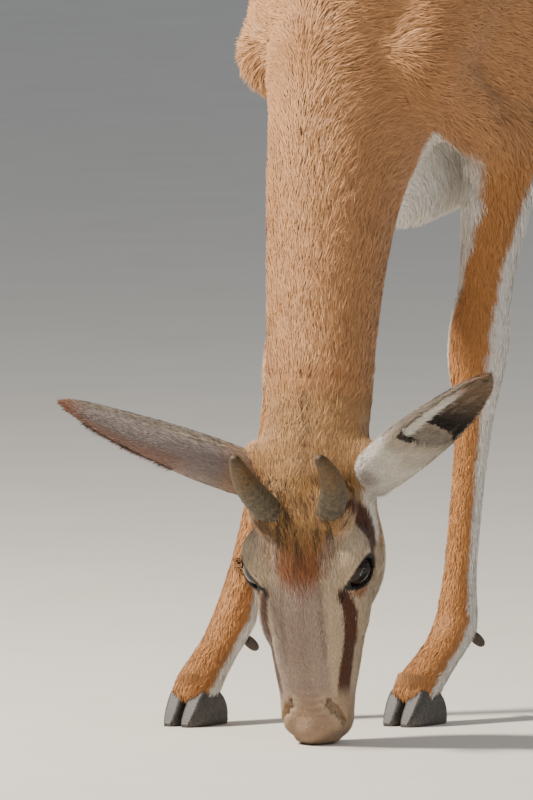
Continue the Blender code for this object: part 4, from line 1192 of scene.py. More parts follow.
def grow(roots, out, ways, length, width, rise, colour, spots, rng, wild=0.0):
    """Tufts of three triangles: a broad root, a bend, and a fine tip, lying along the coat."""
    n = len(roots)
    flat = ways - out * (ways * out).sum(axis=1)[:, None]
    flat = unit(flat)
    across = np.cross(out, flat)
    yaw = rng.normal(0, 0.16 + wild, n) + 0.32 * value_noise(roots, 11.0, 41)
    flat, across = (
        flat * np.cos(yaw)[:, None] + across * np.sin(yaw)[:, None],
        across * np.cos(yaw)[:, None] - flat * np.sin(yaw)[:, None],
    )
    length = length * rng.uniform(0.72, 1.2, n)
    lift = rise * rng.uniform(0.6, 1.35, n)
    roll = rng.normal(0, 0.25, n)[:, None]
    half_wide = width * rng.uniform(0.75, 1.25, n) / 2
    wide = (across * np.cos(roll) + out * np.sin(roll)) * half_wide[:, None]
    bend = roots + flat * (0.5 * length)[:, None] + out * (0.72 * lift * length)[:, None]
    tip = roots + flat * length[:, None] + out * (0.95 * lift * length)[:, None]
    tip = tip + across * (rng.normal(0, 0.06, n) * length)[:, None]
    sunk = roots - 0.3 * out
    points = np.stack([sunk - wide, sunk + wide, bend - 0.8 * wide, bend + 0.8 * wide, tip], axis=1)
    first = 5 * np.arange(n)[:, None]
    faces = np.stack([first + (0, 3, 1), first + (0, 2, 3), first + (2, 4, 3)], axis=1).reshape(-1, 3)
    tilt = unit(out + 0.22 * rng.normal(0, 1, (n, 1)) * across - 0.1 * flat)
    normals = np.repeat(tilt[:, None], 5, axis=1).reshape(-1, 3)
    shade = rng.normal(1, 0.10, n)[:, None, None] * np.array(TUFT_SHADES)[None, :, None]
    colours = (colour[:, None] * shade).reshape(-1, 3)
    patch = np.array(((-1, -1), (1, -1), (-1, 0.3), (1, 0.3), (0, 1))) * PATCH_HALF
    spots = (spots[:, None] + patch[None]).reshape(-1, 2)
    strands = np.empty((n, 5, 2))
    strands[:, :, 0] = np.array((-1, 1, -0.8, 0.8, 0)) * 1.6 * (width / 1.0)[:, None]
    strands[:, :, 1] = (rng.random(n) * 50)[:, None]
    return points.reshape(-1, 3), faces, colours, normals, np.clip(spots, 0, 1), strands.reshape(-1, 2)


def add_node(tree, kind, settings=None, links=None):
    """A node with its fixed settings, and its inputs linked from other nodes' outputs."""
    node = tree.nodes.new(kind)
    for key, value in (settings or {}).items():
        if isinstance(key, str) and hasattr(node, key):
            setattr(node, key, value)
        else:
            node.inputs[key].default_value = value
    for key, source in (links or {}).items():
        tree.links.new(source, node.inputs[key])
    return node


def new_look(name):
    look = bpy.data.materials.new(name)
    look.use_nodes = True
    tree = look.node_tree
    shader = tree.nodes["Principled BSDF"]
    return look, tree, shader


def hair_look(name, roughness, sheen, tufted):
    """Hair: its colour from the markings, split into single hairs, with a soft broad highlight."""
    look, tree, shader = new_look(name)
    paint = add_node(tree, "ShaderNodeVertexColor", {"layer_name": "coat"})
    if tufted:
        # Real hairs are 0.05 mm across; here about four lie side by side in a tuft, so that they show.
        place = add_node(tree, "ShaderNodeAttribute", {"attribute_name": "strand"})
        source, scale = place.outputs["Vector"], 1.1
    else:
        place = add_node(tree, "ShaderNodeTexCoord")
        source, scale = place.outputs["Object"], 1500.0
    streak = add_node(tree, "ShaderNodeTexNoise", {"Scale": scale, "Detail": 2.0}, {"Vector": source})
    level = add_node(
        tree,
        "ShaderNodeMapRange",
        {"From Min": 0.3, "From Max": 0.7, "To Min": 0.74, "To Max": 1.2},
        {"Value": streak.outputs["Fac"]},
    )
    tint = add_node(
        tree,
        "ShaderNodeVectorMath",
        {"operation": "SCALE"},
        {"Vector": paint.outputs["Color"], "Scale": level.outputs["Result"]},
    )
    gloss = add_node(
        tree,
        "ShaderNodeMapRange",
        {"From Min": 0.3, "From Max": 0.7, "To Min": roughness + 0.1, "To Max": roughness - 0.1},
        {"Value": streak.outputs["Fac"]},
    )
    bump = add_node(
        tree,
        "ShaderNodeBump",
        {"Strength": 0.4, "Distance": 0.0004},
        {"Height": streak.outputs["Fac"]},
    )
    tree.links.new(tint.outputs["Vector"], shader.inputs["Base Color"])
    tree.links.new(gloss.outputs["Result"], shader.inputs["Roughness"])
    tree.links.new(bump.outputs["Normal"], shader.inputs["Normal"])
    shader.inputs["IOR"].default_value = 1.55
    shader.inputs["Specular IOR Level"].default_value = 0.3
    shader.inputs["Sheen Weight"].default_value = sheen
    shader.inputs["Sheen Roughness"].default_value = 0.5
    return look


LOOKS = {
    # Underfur, seen only as soft dull depth between the tufts.
    "skin": hair_look("short_underfur", 0.75, 0.1, False),
    # Short guard hair, which gives the body its streaks and its soft velvet edge light.
    "coat": hair_look("springbok_hair", 0.60, 0.15, True),
    # Lashes, fringes and tail hair, glossier and coarser than the coat.
    "long": hair_look("long_coarse_hair", 0.45, 0.05, True),
}


def finish_piece(thing):
    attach(thing, BODY)
    return thing


BODY = list(frame["bodies"])[0]

BODY_LOW, BODY_HIGH = (-122, -190, 4), (122, 760, 732)
HEAD_LOW, HEAD_HIGH = (-72, -78, -70), (72, 62, 226)

body_points, body_faces = skin_of(body_melt(), BODY_LOW, BODY_HIGH, BODY_SKIN_CELL, body_depth)
body_points = smooth_points(body_points, body_faces, 1)
head_points, head_faces = skin_of(head_melt(), HEAD_LOW, HEAD_HIGH, HEAD_SKIN_CELL, head_depth)
ear_points, ear_faces = skin_of(ear_melt(), (-27, -30, -4), (27, 14, 168), EAR_SKIN_CELL, ear_depth)
face_points = from_head(head_points)

shells = [
    (body_points, body_faces, coat_colour(body_points)),
    (face_points, head_faces, coat_colour(face_points)),
]
for side in SIDES:
    shells.append((from_ear(ear_points, side), ear_faces, ear_colour(ear_points, side)))
first = np.cumsum([0] + [len(shell[0]) for shell in shells])
skin = mesh_piece(
    "skin",
    np.vstack([shell[0] for shell in shells]),
    np.vstack([shell[1] + start for shell, start in zip(shells, first)]),
    LOOKS["skin"],
    colours=np.vstack([shell[2] for shell in shells]) * 0.8,
)
finish_piece(skin)
HARD = ("claw", "eye", "horn")
flesh = [name for name in frame["nodes"] if not any(word in name for word in HARD)]
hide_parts(*flesh)


# The coat.


def body_density(points):
    """Tufts to the square millimetre over the body."""
    local = to_head(points)
    legs = step(420, 330, points[:, 2])
    front = step(320, 200, points[:, 1])
    neck = step(80, 40, points[:, 1]) * step(190, 230, points[:, 2])
    count = 0.22 + 0.17 * front + 0.22 * neck + 0.36 * legs
    hidden = near_head(local) & (local[:, 2] > BODY_ENDS - 4)
    return count * ~hidden * (points[:, 2] > 22)


def head_density(points):
    """Tufts to the square millimetre over the head, with none in the eyes, nostrils or mouth."""
    local = to_head(points)
    t = local[:, 2]
    count = 1.05 + 0.4 * step(120, 170, t) + 1.1 * step(74, 50, t)
    for sign in SIDES.values():
        eye = mirrored(EYE_PLACE, sign)
        by_eye = np.linalg.norm(local - eye, axis=1) < EYE_RADIUS + 5
        folded = local * (sign, 1, 1)
        count = count * ~(by_eye & (lid_share(folded) < 1.36))
        nostril = mirrored((24, 13.5, 196), sign)
        count = count * (np.linalg.norm(local - nostril, axis=1) > 5)
        base = mirrored(HORN_BASE, sign)
        off = local - base - (sign * 2.0, 5, -4)
        count = count * (np.linalg.norm(off, axis=1) > 10.5)
    return count * (t > BODY_ENDS + 1)


def ear_density(points):
    return np.full(len(points), 1.1)


def patch_places(points, kind):
    """Where each tuft lies on an unwrap of the skin, from the angle round and the way along."""
    x, y, z = points.T
    if kind == "head":
        s, q, t = to_head(points).T
        angle, along = np.arctan2(s, q), (t + 40) / 260
    elif kind == "neck":
        along = NECK_FORM.place(points.astype(np.float32)) / (len(NECK_FORM.rows) - 1)
        row = NECK_FORM.at(along * (len(NECK_FORM.rows) - 1))
        angle = np.arctan2(x - row[:, 0], neck_side(points) * 60)
    elif kind == "legs":
        angle = np.zeros(len(points))
        for side, sign in SIDES.items():
            mine = x * sign > 0
            for form, own in ((foreleg_form(side), y < 300), (hindleg_form(side), y >= 300)):
                rows = form.rows[::-1]
                here = mine & own
                middle = [np.interp(z[here], rows[:, 2], rows[:, k]) for k in (0, 1)]
                turn = np.arctan2(x[here] - middle[0], y[here] - middle[1])
                angle[here] = sign * (turn + np.pi) / 2
        along = z / 440
    else:
        angle, along = np.arctan2(x, z - 530), y / 760
    spots = np.stack([angle / (2 * np.pi) + 0.5, along], axis=1)
    return np.clip(spots, 0.003, 0.997)


def coat_piece(name, kind, chosen, rng):
    """One region of the coat as one mesh of tufts."""
    roots, out = chosen
    length, width, rise = body_hair(roots)
    ways = lie_of_coat(roots)
    wild = 0.12 * (kind == "head") * step(60, 30, to_head(roots)[:, 2])
    colour = coat_colour(roots + rng.normal(0, 0.8, roots.shape))
    spots = patch_places(roots, kind)
    parts = grow(roots, out, ways, length, width, rise, colour, spots, rng, wild)
    points, faces, colours, normals, spots, strands = parts
    piece = mesh_piece(name, points, faces, LOOKS["coat"], colours, normals, spots, strands)
    return finish_piece(piece)


def pick(roots, out, mask):
    return roots[mask], out[mask]


rng = np.random.default_rng(20)
roots, out = scatter(body_points, body_faces, body_density, rng)
on_neck = (roots[:, 1] < 66) & (to_head(roots)[:, 1] > -112)
on_neck |= (roots[:, 1] < 66) & (roots[:, 2] > 405)
on_leg = (roots[:, 2] < 405) & ~on_neck
regions = {
    "coat_neck": ("neck", on_neck, "coat_tan"),
    "coat_foreleg_left": ("legs", on_leg & (roots[:, 1] < 300) & (roots[:, 0] > 0), "coat_leg"),
    "coat_foreleg_right": ("legs", on_leg & (roots[:, 1] < 300) & (roots[:, 0] <= 0), "coat_leg"),
    "coat_hindlegs": ("legs", on_leg & (roots[:, 1] >= 300), "coat_leg"),
    "coat_chest": ("trunk", ~on_leg & ~on_neck & (roots[:, 1] < 230), "coat_tan"),
    "coat_belly": ("trunk", ~on_leg & ~on_neck & (roots[:, 1] >= 230) & (roots[:, 1] < 480), "coat_tan"),
    "coat_croup": ("trunk", ~on_leg & ~on_neck & (roots[:, 1] >= 480), "coat_white"),
}
for name, (kind, mask, slot) in regions.items():
    coat_piece(name, kind, pick(roots, out, mask), rng)
roots, out = scatter(face_points, head_faces, head_density, rng)
upper = to_head(roots)[:, 2] < 70
for name, mask in (("coat_crown", upper), ("coat_face", ~upper)):
    coat_piece(name, "head", pick(roots, out, mask), rng)

for side, sign in SIDES.items():
    roots, out = scatter(ear_points, ear_faces, ear_density, rng)
    length, width, rise = ear_hair(roots)
    share = roots[:, 2] / EAR_LENGTH
    ways = unit(np.array((0.0, 0.0, 1.0)) + 0.25 * roots * (1, 0, 0) / 20)
    colour = ear_colour(roots, side)
    angle = np.arctan2(roots[:, 0], roots[:, 1] + EAR_BEND * share**3)
    spots = np.clip(np.stack([angle / (2 * np.pi) + 0.5, share], axis=1), 0.003, 0.997)
    points, faces, colours, normals, spots, strands = grow(
        roots, out, ways, length, width, rise, colour, spots, rng
    )
    world = from_ear(points, side)
    turned = (from_ear(normals, side) - from_ear(np.zeros((1, 3)), side))
    piece = mesh_piece("coat_ear_" + side, world, faces, LOOKS["coat"], colours, turned, spots, strands)
    finish_piece(piece)


# Eyes, horns and hooves.


def keratin_look(name, dark, light, grain, bump_mm, roughness):
    """Horn or hoof: layered keratin, dull where it is worn rough and smoother in the troughs."""
    look, tree, shader = new_look(name)
    paint = add_node(tree, "ShaderNodeVertexColor", {"layer_name": "coat"})
    place = add_node(tree, "ShaderNodeTexCoord")
    noise = {"Scale": grain, "Detail": 6.0, "Roughness": 0.65}
    speck = add_node(tree, "ShaderNodeTexNoise", noise, {"Vector": place.outputs["Object"]})
    ramp = add_node(tree, "ShaderNodeValToRGB", {}, {"Fac": speck.outputs["Fac"]})
    ramp.color_ramp.elements[0].position = 0.32
    ramp.color_ramp.elements[0].color = (*linear(dark), 1)
    ramp.color_ramp.elements[1].position = 0.7
    ramp.color_ramp.elements[1].color = (*linear(light), 1)
    mix = add_node(
        tree,
        "ShaderNodeMix",
        {"data_type": "RGBA", "blend_type": "MULTIPLY", 0: 1.0},
        {6: ramp.outputs["Color"], 7: paint.outputs["Color"]},
    )
    gloss = add_node(
        tree,
        "ShaderNodeMapRange",
        {"To Min": roughness - 0.12, "To Max": roughness + 0.15},
        {"Value": speck.outputs["Fac"]},
    )
    bump = add_node(
        tree,
        "ShaderNodeBump",
        {"Strength": 0.7, "Distance": bump_mm * MM},
        {"Height": speck.outputs["Fac"]},
    )
    tree.links.new(mix.outputs[2], shader.inputs["Base Color"])
    tree.links.new(gloss.outputs["Result"], shader.inputs["Roughness"])
    tree.links.new(bump.outputs["Normal"], shader.inputs["Normal"])
    shader.inputs["IOR"].default_value = 1.54
    return look


def eye_look():
    """A wet eye: almost black, with a clear mirror-like cornea over a dark brown iris."""
    look, tree, shader = new_look("wet_dark_eye")
    paint = add_node(tree, "ShaderNodeVertexColor", {"layer_name": "coat"})
    place = add_node(tree, "ShaderNodeTexCoord")
    noise = {"Scale": 900.0, "Detail": 3.0}
    fibre = add_node(tree, "ShaderNodeTexNoise", noise, {"Vector": place.outputs["Object"]})
    level = add_node(
        tree, "ShaderNodeMapRange", {"To Min": 0.6, "To Max": 1.4}, {"Value": fibre.outputs["Fac"]}
    )
    tint = add_node(
        tree,
        "ShaderNodeVectorMath",
        {"operation": "SCALE"},
        {"Vector": paint.outputs["Color"], "Scale": level.outputs["Result"]},
    )
    film = add_node(
        tree, "ShaderNodeMapRange", {"To Min": 0.04, "To Max": 0.12}, {"Value": fibre.outputs["Fac"]}
    )
    tree.links.new(tint.outputs["Vector"], shader.inputs["Base Color"])
    tree.links.new(film.outputs["Result"], shader.inputs["Roughness"])
    shader.inputs["IOR"].default_value = 1.38
    shader.inputs["Specular IOR Level"].default_value = 0.25
    shader.inputs["Coat Weight"].default_value = 0.3
    shader.inputs["Coat Roughness"].default_value = 0.03
    return look


LOOKS["eye"] = eye_look()
# Ribbed grey-brown horn, and dark hooves worn matt, both speckled at the size of real grain.
LOOKS["horn"] = keratin_look("young_horn_keratin", "#4E4635", "#A39578", 420.0, 0.5, 0.6)
LOOKS["hoof"] = keratin_look("dark_hoof_keratin", "#2E2D2E", "#6F6C69", 520.0, 0.4, 0.55)


def ring_faces(rings, around):
    """Four-sided faces of a tube of rings, its ends closed by quads folded on the last rings."""
    faces = []
    for i in range(rings - 1):
        for k in range(around):
            n = (k + 1) % around
            faces.append((i * around + k, i * around + n, (i + 1) * around + n, (i + 1) * around + k))
    half = around // 2
    for start, flip in ((0, True), ((rings - 1) * around, False)):
        for k in range(half - 1):
            quad = (start + k, start + k + 1, start + around - 2 - k, start + around - 1 - k)
            faces.append(quad[::-1] if flip else quad)
    return np.array(faces)


def outward(points, faces):
    """The faces, turned so that the closed mesh has a positive volume."""
    tri = triangles_of(points, faces)
    a, b, c = (points[tri[:, k]] for k in range(3))
    volume = (a * np.cross(b, c)).sum()
    return faces if volume > 0 else faces[:, ::-1]


def build_eye(side, sign):
    rings, around = 40, 48
    axes = eye_axes(sign)
    tilt = np.pi * (np.arange(rings) + 0.5) / rings
    turn = 2 * np.pi * np.arange(around) / around
    ring, spoke = np.meshgrid(tilt, turn, indexing="ij")
    local = np.stack([np.sin(ring) * np.cos(spoke), np.sin(ring) * np.sin(spoke), np.cos(ring)], axis=-1)
    local = local.reshape(-1, 3) * (EYE_RADIUS - 0.1)
    points = from_head(local @ axes + mirrored(EYE_PLACE, sign))
    iris = step(10.4, 9.6, np.hypot(local[:, 0], local[:, 1])) * (local[:, 2] > 0)
    pupil = step(1.1, 0.9, np.hypot(local[:, 0] / 6.5, local[:, 1] / 3.8)) * (local[:, 2] > 0)
    base = np.tile(linear("#100906"), (len(points), 1))
    colour = lay(base, (linear("#1E0F08"), iris), (linear("#040303"), pupil))
    faces = outward(points - points.mean(axis=0), ring_faces(rings, around))
    ball = mesh_piece("eyeball_" + side, points, faces, LOOKS["eye"], colours=colour)
    finish_piece(ball)
    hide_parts("eye_" + side)


def build_horn(side, sign):
    """A short horn with low growth rings near its rough base, smoother towards the tip."""
    base = mirrored(HORN_BASE, sign)
    lean = 12.0 if sign < 0 else 7.0
    rows = []
    for share, radius in HORN:
        bow = math.sin(math.pi * share) * 4.0 * (1 if sign < 0 else 1.6)
        place = base + np.array((sign * (lean * share + bow), 0, 0))
        place = place + np.array((0, HORN_RISE[0], HORN_RISE[1])) * share
        rows.append((*place, radius, share))
    rows = spline(rows, 9)
    around = 36
    turn = 2 * np.pi * np.arange(around) / around
    ways = unit(np.gradient(rows[:, :3], axis=0))
    points, colours = [], []
    for row, way in zip(rows, ways):
        across = unit(np.cross(way, (0.0, 1.0, 0.0)))
        other = np.cross(way, across)
        share = row[4]
        rough = 1 - step(0.35, 0.75, share)
        wave = math.sin(share * 58 + 1.4 * math.sin(share * 17))
        flute = np.sin(turn * 9 + 3 * math.sin(share * 5)) * 0.12 + np.sin(turn * 23 + 9 * share) * 0.06
        radius = row[3] * (1 + 0.028 * rough * wave + 0.10 * rough * flute) - 0.25
        sideways, onward = np.cos(turn) * radius, np.sin(turn) * radius
        points.append(row[:3] + across * sideways[:, None] + other * onward[:, None])
        # Colour follows the relief of the rings and flutes: painted shade in their troughs and painted
        # light on their ridges.
        shade = np.clip(0.82 + 0.14 * wave * rough + 0.6 * flute * rough, 0.4, 1.2)
        tone = linear("#A9A39B") * rough + linear("#BF9C69") * (1 - rough)
        tone = tone * (1 - 0.35 * step(0.86, 1.0, share))
        colours.append(np.atleast_1d(shade)[:, None] * tone)
    points = np.vstack(points)
    faces = outward(points - points.mean(axis=0), ring_faces(len(rows), around))
    colours = np.vstack(colours)
    horn = mesh_piece("horn_shell_" + side, from_head(points), faces, LOOKS["horn"], colours=colours)
    finish_piece(horn)
    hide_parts("horn_" + side)


def build_claw(name, x, sign, coronet):
    """Half of a cloven hoof, round-edged, flat below, with faint growth lines along its wall."""
    heel = coronet[1] + 0.42 * CLAW_LENGTH
    rows = spline(np.array(HOOF_WALL), 8)
    around = 40
    turn = 2 * np.pi * (np.arange(around) + 0.5) / around
    edge = np.sign(np.cos(turn)) * np.abs(np.cos(turn)) ** 0.55
    lift = np.sin(turn)
    lift = np.where(lift > 0, np.abs(lift) ** 0.8, -(np.abs(lift) ** 0.4))
    points, colours = [], []
    for share, outer, inner, tall in rows:
        y = heel - np.clip(share, 0, 1) * CLAW_LENGTH
        top = coronet[2] - (y - coronet[1]) * 0.3 + 0.6
        top = max(min(top, tall), 3.0)
        z = np.clip(top / 2 + lift * (top / 2 + 0.5), 0.05, top)
        narrow = 1 - 0.16 * z / 30
        wide = np.where(edge > 0, outer * narrow, inner) - 0.15
        ridge = 0.18 * np.sin(z * 2.4 + y * 0.7)
        aside = x + sign * edge * (wide + ridge * (edge > 0.5))
        points.append(np.stack([aside, np.full(around, y), z], axis=1))
        worn = 0.75 + 0.35 * step(9, 0, z) + 0.1 * np.sin(z * 2.4 + y * 0.7)
        colours.append(worn[:, None] * linear("#DAD6D2"))
    points = np.vstack(points)
    faces = outward(points - points.mean(axis=0), ring_faces(len(rows), around))
    claw = mesh_piece(name + "_wall", points, faces, LOOKS["hoof"], colours=np.vstack(colours))
    finish_piece(claw)
    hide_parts(name)


def build_dewclaw(name, start, way):
    """A small blunt cone of horn behind the fetlock."""
    around = 24
    turn = 2 * np.pi * np.arange(around) / around
    across = unit(np.cross(way, (1.0, 0.0, 0.0)))
    other = np.cross(way, across)
    rows = spline(np.array(DEWCLAW_HORN), 6)
    points = [
        start + way * reach + radius * (np.cos(turn)[:, None] * across + np.sin(turn)[:, None] * other)
        for reach, radius in rows
    ]
    points = np.vstack(points)
    faces = outward(points - points.mean(axis=0), ring_faces(len(rows), around))
    tone = 0.85 + 0.25 * np.sin(np.repeat(rows[:, 0], around) * 2.2)
    colours = tone[:, None] * linear("#C9BDB0")
    horn = mesh_piece(name + "_horn", points, faces, LOOKS["dewclaw"], colours=colours)
    finish_piece(horn)
    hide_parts(name)


def build_feet():
    for side, body_sign in SIDES.items():
        for leg, form in (("foreleg", foreleg_form(side)), ("hindleg", hindleg_form(side))):
            x, y = form.rows[-1, :2]
            fetlock = form.rows[int(np.argmin(np.abs(form.rows[:, 2] - 70))), :3]
            for where, sign in (("outer", body_sign), ("inner", -body_sign)):
                name = "%s_%s_claw_%s" % (leg, side, where)
                build_claw(name, x + sign * 9.2, sign, (x, y + 4, CORONET_HEIGHT))
                start = fetlock + np.array((sign * 8.5, 10.0, -8.0))
                way = unit((sign * 0.25, 0.72, -0.62))
                build_dewclaw("%s_%s_dewclaw_%s" % (leg, side, where), start, way)


LOOKS["dewclaw"] = keratin_look("dewclaw_keratin", "#3E3935", "#776D62", 520.0, 0.4, 0.65)
for side, sign in SIDES.items():
    build_eye(side, sign)
    build_horn(side, sign)
build_feet()


# Long hair: lashes, the white fringe in the ears, hair over the hooves and the tail tuft.


def strands_piece(name, roots, ways, out, length, width, bend, colour, rng, spots):
    """Single long tapered hairs, each bending over towards the way given by bend."""
    n = len(roots)
    length = length * rng.uniform(0.75, 1.15, n)
    across = unit(np.cross(ways, out)) * (width * rng.uniform(0.7, 1.2, n) / 2)[:, None]
    levels = np.array((0.0, 0.35, 0.7, 1.0))
    wide = np.array((1.0, 0.9, 0.6, 0.0))
    points = np.zeros((n, 7, 3))
    for k, (level, w) in enumerate(zip(levels, wide)):
        centre = roots + ways * (level * length)[:, None] + bend * (level**2 * length)[:, None]
        if w == 0:
            points[:, 6] = centre
        else:
            points[:, 2 * k] = centre - across * w
            points[:, 2 * k + 1] = centre + across * w
    first = 7 * np.arange(n)[:, None]
    order = ((0, 1, 3), (0, 3, 2), (2, 3, 5), (2, 5, 4), (4, 5, 6))
    faces = np.stack([first + k for k in order], axis=1).reshape(-1, 3)
    shade = rng.normal(1, 0.12, n)[:, None, None] * np.linspace(0.85, 1.08, 7)[None, :, None]
    colours = (colour[:, None] * shade).reshape(-1, 3)
    normals = np.repeat(out[:, None], 7, axis=1).reshape(-1, 3)
    spots = np.clip(spots, 0.003, 0.997)
    patch = ((-1, -1), (1, -1), (-1, -0.3), (1, -0.3), (-1, 0.4), (1, 0.4), (0, 1))
    spots = (spots[:, None] + np.array(patch)[None] * PATCH_HALF).reshape(-1, 2)
    strand = np.zeros((n, 7, 2))
    strand[:, :, 0] = np.array((-1, 1, -0.9, 0.9, -0.6, 0.6, 0)) * 1.2
    strand[:, :, 1] = (rng.random(n) * 50)[:, None]
    piece = mesh_piece(
        name, points.reshape(-1, 3), faces, LOOKS["long"], colours, normals, spots, strand.reshape(-1, 2)
    )
    return finish_piece(piece)


def build_lashes(rng):
    for side, sign in SIDES.items():
        axes = eye_axes(sign)
        n = 60
        share = rng.uniform(-0.15, 0.96, n)
        brow = axes[1] if axes[1] @ (0, 0, -1) > 0 else -axes[1]
        local = axes[0] * (share * 12.0)[:, None] + brow * (7.6 * np.sqrt(1 - share**2))[:, None]
        local = local + axes[2] * (EYE_RADIUS + 2.0 - 4.5 * np.abs(share) ** 2)[:, None]
        ways = axes[2] * 0.8 + brow * 0.5 + axes[0] * (0.35 * share)[:, None]
        ways = unit(ways + rng.normal(0, 0.12, (n, 3)))
        roots = from_head(local + mirrored(EYE_PLACE, sign))
        turn = HEAD_AXES
        colour = np.tile(linear("#1A120C"), (n, 1))
        strands_piece(
            "lashes_" + side, roots, ways @ turn, np.tile(brow @ turn, (n, 1)), 7.5, 0.3,
            np.tile(brow @ turn * 0.25, (n, 1)), colour, rng,
            patch_places(roots, "head"),
        )


def build_ear_fringe(rng):
    """White hairs over the upper rim of the left ear, reddish ones past the lower rim of the right."""
    for side, sign in SIDES.items():
        n = 1900
        share = 0.42 + 0.48 * rng.beta(1.0, 1.4, n)
        edge = np.full(n, float(sign))
        width = np.interp(share, [row[0] for row in EAR], [row[1] for row in EAR])
        front = np.interp(share, [row[0] for row in EAR], [row[3] for row in EAR])
        x = edge * width * rng.uniform(0.74, 0.97, n)
        y = -EAR_BEND * share**3 + 0.35 * front * np.sqrt(1 - (x / width) ** 2) + 0.3
        roots = np.stack([x, y, share * EAR_LENGTH], axis=1)
        lean = -0.75 if side == "left" else 0.35
        ways = np.stack([edge * lean, np.full(n, 0.3), np.full(n, 0.75)], axis=1)
        ways = unit(ways + rng.normal(0, 0.26, (n, 3)))
        out = unit(np.stack([0.4 * edge, np.ones(n), np.zeros(n)], axis=1))
        bend = np.stack([-edge * 0.05, np.full(n, -0.22), np.full(n, 0.1)], axis=1)
        turn = ear_axes(side) @ HEAD_AXES
        colour = np.tile(WHITE_FUR, (n, 1)) * rng.uniform(0.7, 1.0, (n, 1))
        reddish = step(0.75, 0.95, share) if side == "left" else np.full(n, 0.75)
        colour = lay(colour, (RUFOUS, reddish))
        angle = np.arctan2(x, y) / (2 * np.pi) + 0.5
        strands_piece(
            "ear_fringe_" + side, from_ear(roots, side), ways @ turn, out @ turn,
            rng.uniform(4.0, 11.0, n) * (1 - 0.35 * share), 0.36, bend @ turn, colour, rng,
            np.stack([angle, share], axis=1),
        )


def build_hoof_fringe(rng):
    for side in SIDES:
        for leg, form in (("foreleg", foreleg_form(side)), ("hindleg", hindleg_form(side))):
            n = 1500
            x, y = form.rows[-1, :2]
            turn = rng.uniform(0, 2 * np.pi, n)
            out = np.stack([np.cos(turn), np.sin(turn), np.zeros(n)], axis=1)
            place = np.stack([x + out[:, 0] * 13.0, y + 3.0 + out[:, 1] * 16.0, np.zeros(n)], axis=1)
            place[:, 2] = CORONET_HEIGHT + 5.0 - 0.3 * (place[:, 1] - y - 4) + rng.uniform(-3, 2.5, n)
            place -= out * 1.6
            ways = unit(out * 0.22 + (0, -0.2, -1.0) + rng.normal(0, 0.13, (n, 3)))
            colour = coat_colour(place + (0, 0, 24.0)) * rng.uniform(0.75, 1.1, (n, 1))
            strands_piece(
                "hoof_fringe_%s_%s" % (leg, side), place, ways, out,
                rng.uniform(5.0, 11.0, n), 0.55, out * -0.12, colour, rng,
                patch_places(place, "legs"),
            )


def build_tuft(rng):
    n = 900
    rows = tail_form().rows
    z = rng.uniform(452, 520, n)
    y = np.interp(z, rows[::-1, 2], rows[::-1, 1])
    turn = rng.uniform(0, 2 * np.pi, n)
    out = np.stack([np.cos(turn), np.sin(turn), np.zeros(n)], axis=1)
    radius = np.interp(z, rows[::-1, 2], rows[::-1, 6])
    roots = np.stack([np.zeros(n), y, z], axis=1) + out * (radius * 0.8)[:, None]
    ways = unit(out * 0.10 + (0, 0, -1.0) + rng.normal(0, 0.03, (n, 3)))
    length = np.minimum(rng.uniform(34, 74, n), z - 390)
    colour = np.tile(TUFT_BLACK, (n, 1)) * rng.uniform(0.8, 2.2, (n, 1))
    spots = np.stack([turn / (2 * np.pi), (z - 440) / 90], axis=1)
    bend = out * -0.06
    strands_piece("tail_hair", roots, ways, out, length, 1.2, bend, colour, rng, spots)


rng = np.random.default_rng(33)
build_lashes(rng)
build_ear_fringe(rng)
build_hoof_fringe(rng)
build_tuft(rng)


# Camera and light.

AZIMUTH = 35.0
ELEVATION = 4.5
MM_PER_PIXEL = 0.72
CAMERA_AWAY = 16.0
AIM_PLACE = (95.0, -135.0, 0.0)
AIM_RIGHT = -27.7
AIM_UP = 249.1

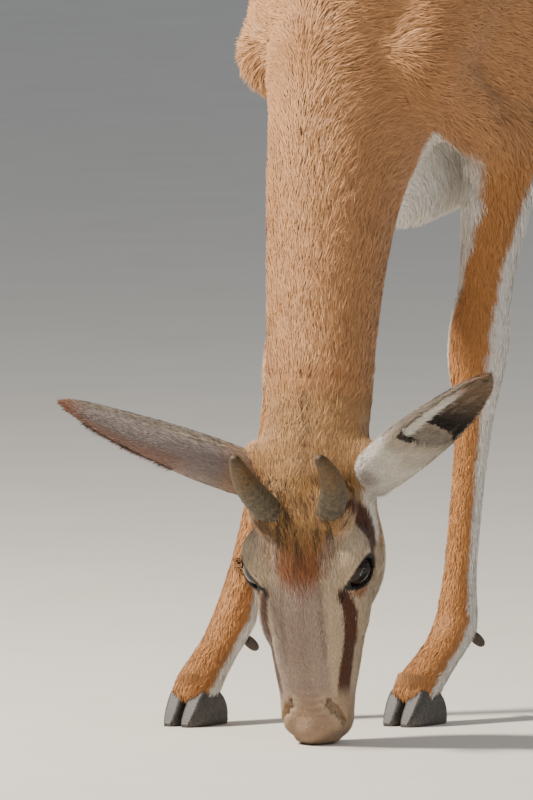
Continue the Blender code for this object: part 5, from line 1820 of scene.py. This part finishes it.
az, el = math.radians(AZIMUTH), math.radians(ELEVATION)
right = np.array((math.cos(az), math.sin(az), 0.0))
toward = np.array((math.sin(az) * math.cos(el), -math.cos(az) * math.cos(el), math.sin(el)))
up = np.cross(toward, right)
target = placed(np.array(AIM_PLACE) + right * AIM_RIGHT + up * AIM_UP)
camera_data = bpy.data.cameras.new("camera")
camera_data.sensor_width = 36.0
camera_data.lens = 36.0 * CAMERA_AWAY / (MM_PER_PIXEL * 800 * MM)
camera_data.clip_end = 120.0
camera = bpy.data.objects.new("camera", camera_data)
camera.location = Vector(target + toward * CAMERA_AWAY)
camera.rotation_euler = Vector(toward).to_track_quat("Z", "Y").to_euler()
bpy.context.scene.collection.objects.link(camera)
bpy.context.scene.camera = camera


def softbox(name, place, size, watts, colour):
    data = bpy.data.lights.new(name, "AREA")
    data.shape = "DISK"
    data.size = size
    data.energy = watts
    data.color = colour
    thing = bpy.data.objects.new(name, data)
    thing.location = Vector(place)
    thing.rotation_euler = (Vector(place) - Vector(target)).to_track_quat("Z", "Y").to_euler()
    bpy.context.scene.collection.objects.link(thing)
    return thing


softbox("sun", target - right * 1.8 + up * 2.0 + toward * 0.2, 0.4, 190, (1.0, 0.93, 0.82))
fill = softbox("fill", target + right * 1.2 + up * 0.7 + toward * 1.9, 1.8, 16, (1.0, 0.97, 0.93))
fill.visible_glossy = False

world = bpy.data.worlds.new("world")
world.use_nodes = True
world.node_tree.nodes["Background"].inputs["Color"].default_value = (0.80, 0.86, 0.95, 1)
world.node_tree.nodes["Background"].inputs["Strength"].default_value = 0.40
bpy.context.scene.world = world

# Pale matt studio paper, faintly mottled, so that the animal and its shadow read against it.
floor_look, floor_tree, floor_shader = new_look("pale_floor")
place = add_node(floor_tree, "ShaderNodeTexCoord")
noise = {"Scale": 9.0, "Detail": 4.0}
grain = add_node(floor_tree, "ShaderNodeTexNoise", noise, {"Vector": place.outputs["Object"]})
tone = add_node(floor_tree, "ShaderNodeValToRGB", {}, {"Fac": grain.outputs["Fac"]})
tone.color_ramp.elements[0].color = (*linear("#D3CDC3"), 1)
tone.color_ramp.elements[1].color = (*linear("#DED9D0"), 1)
floor_tree.links.new(tone.outputs["Color"], floor_shader.inputs["Base Color"])
floor_shader.inputs["Roughness"].default_value = 0.9
floor_mesh = bpy.data.meshes.new("floor")
floor_mesh.from_pydata([(-45, -45, 0), (45, -45, 0), (45, 45, 0), (-45, 45, 0)], [], [(0, 1, 2, 3)])
floor_mesh.materials.append(floor_look)
floor = bpy.data.objects.new("floor", floor_mesh)
bpy.context.scene.collection.objects.link(floor)
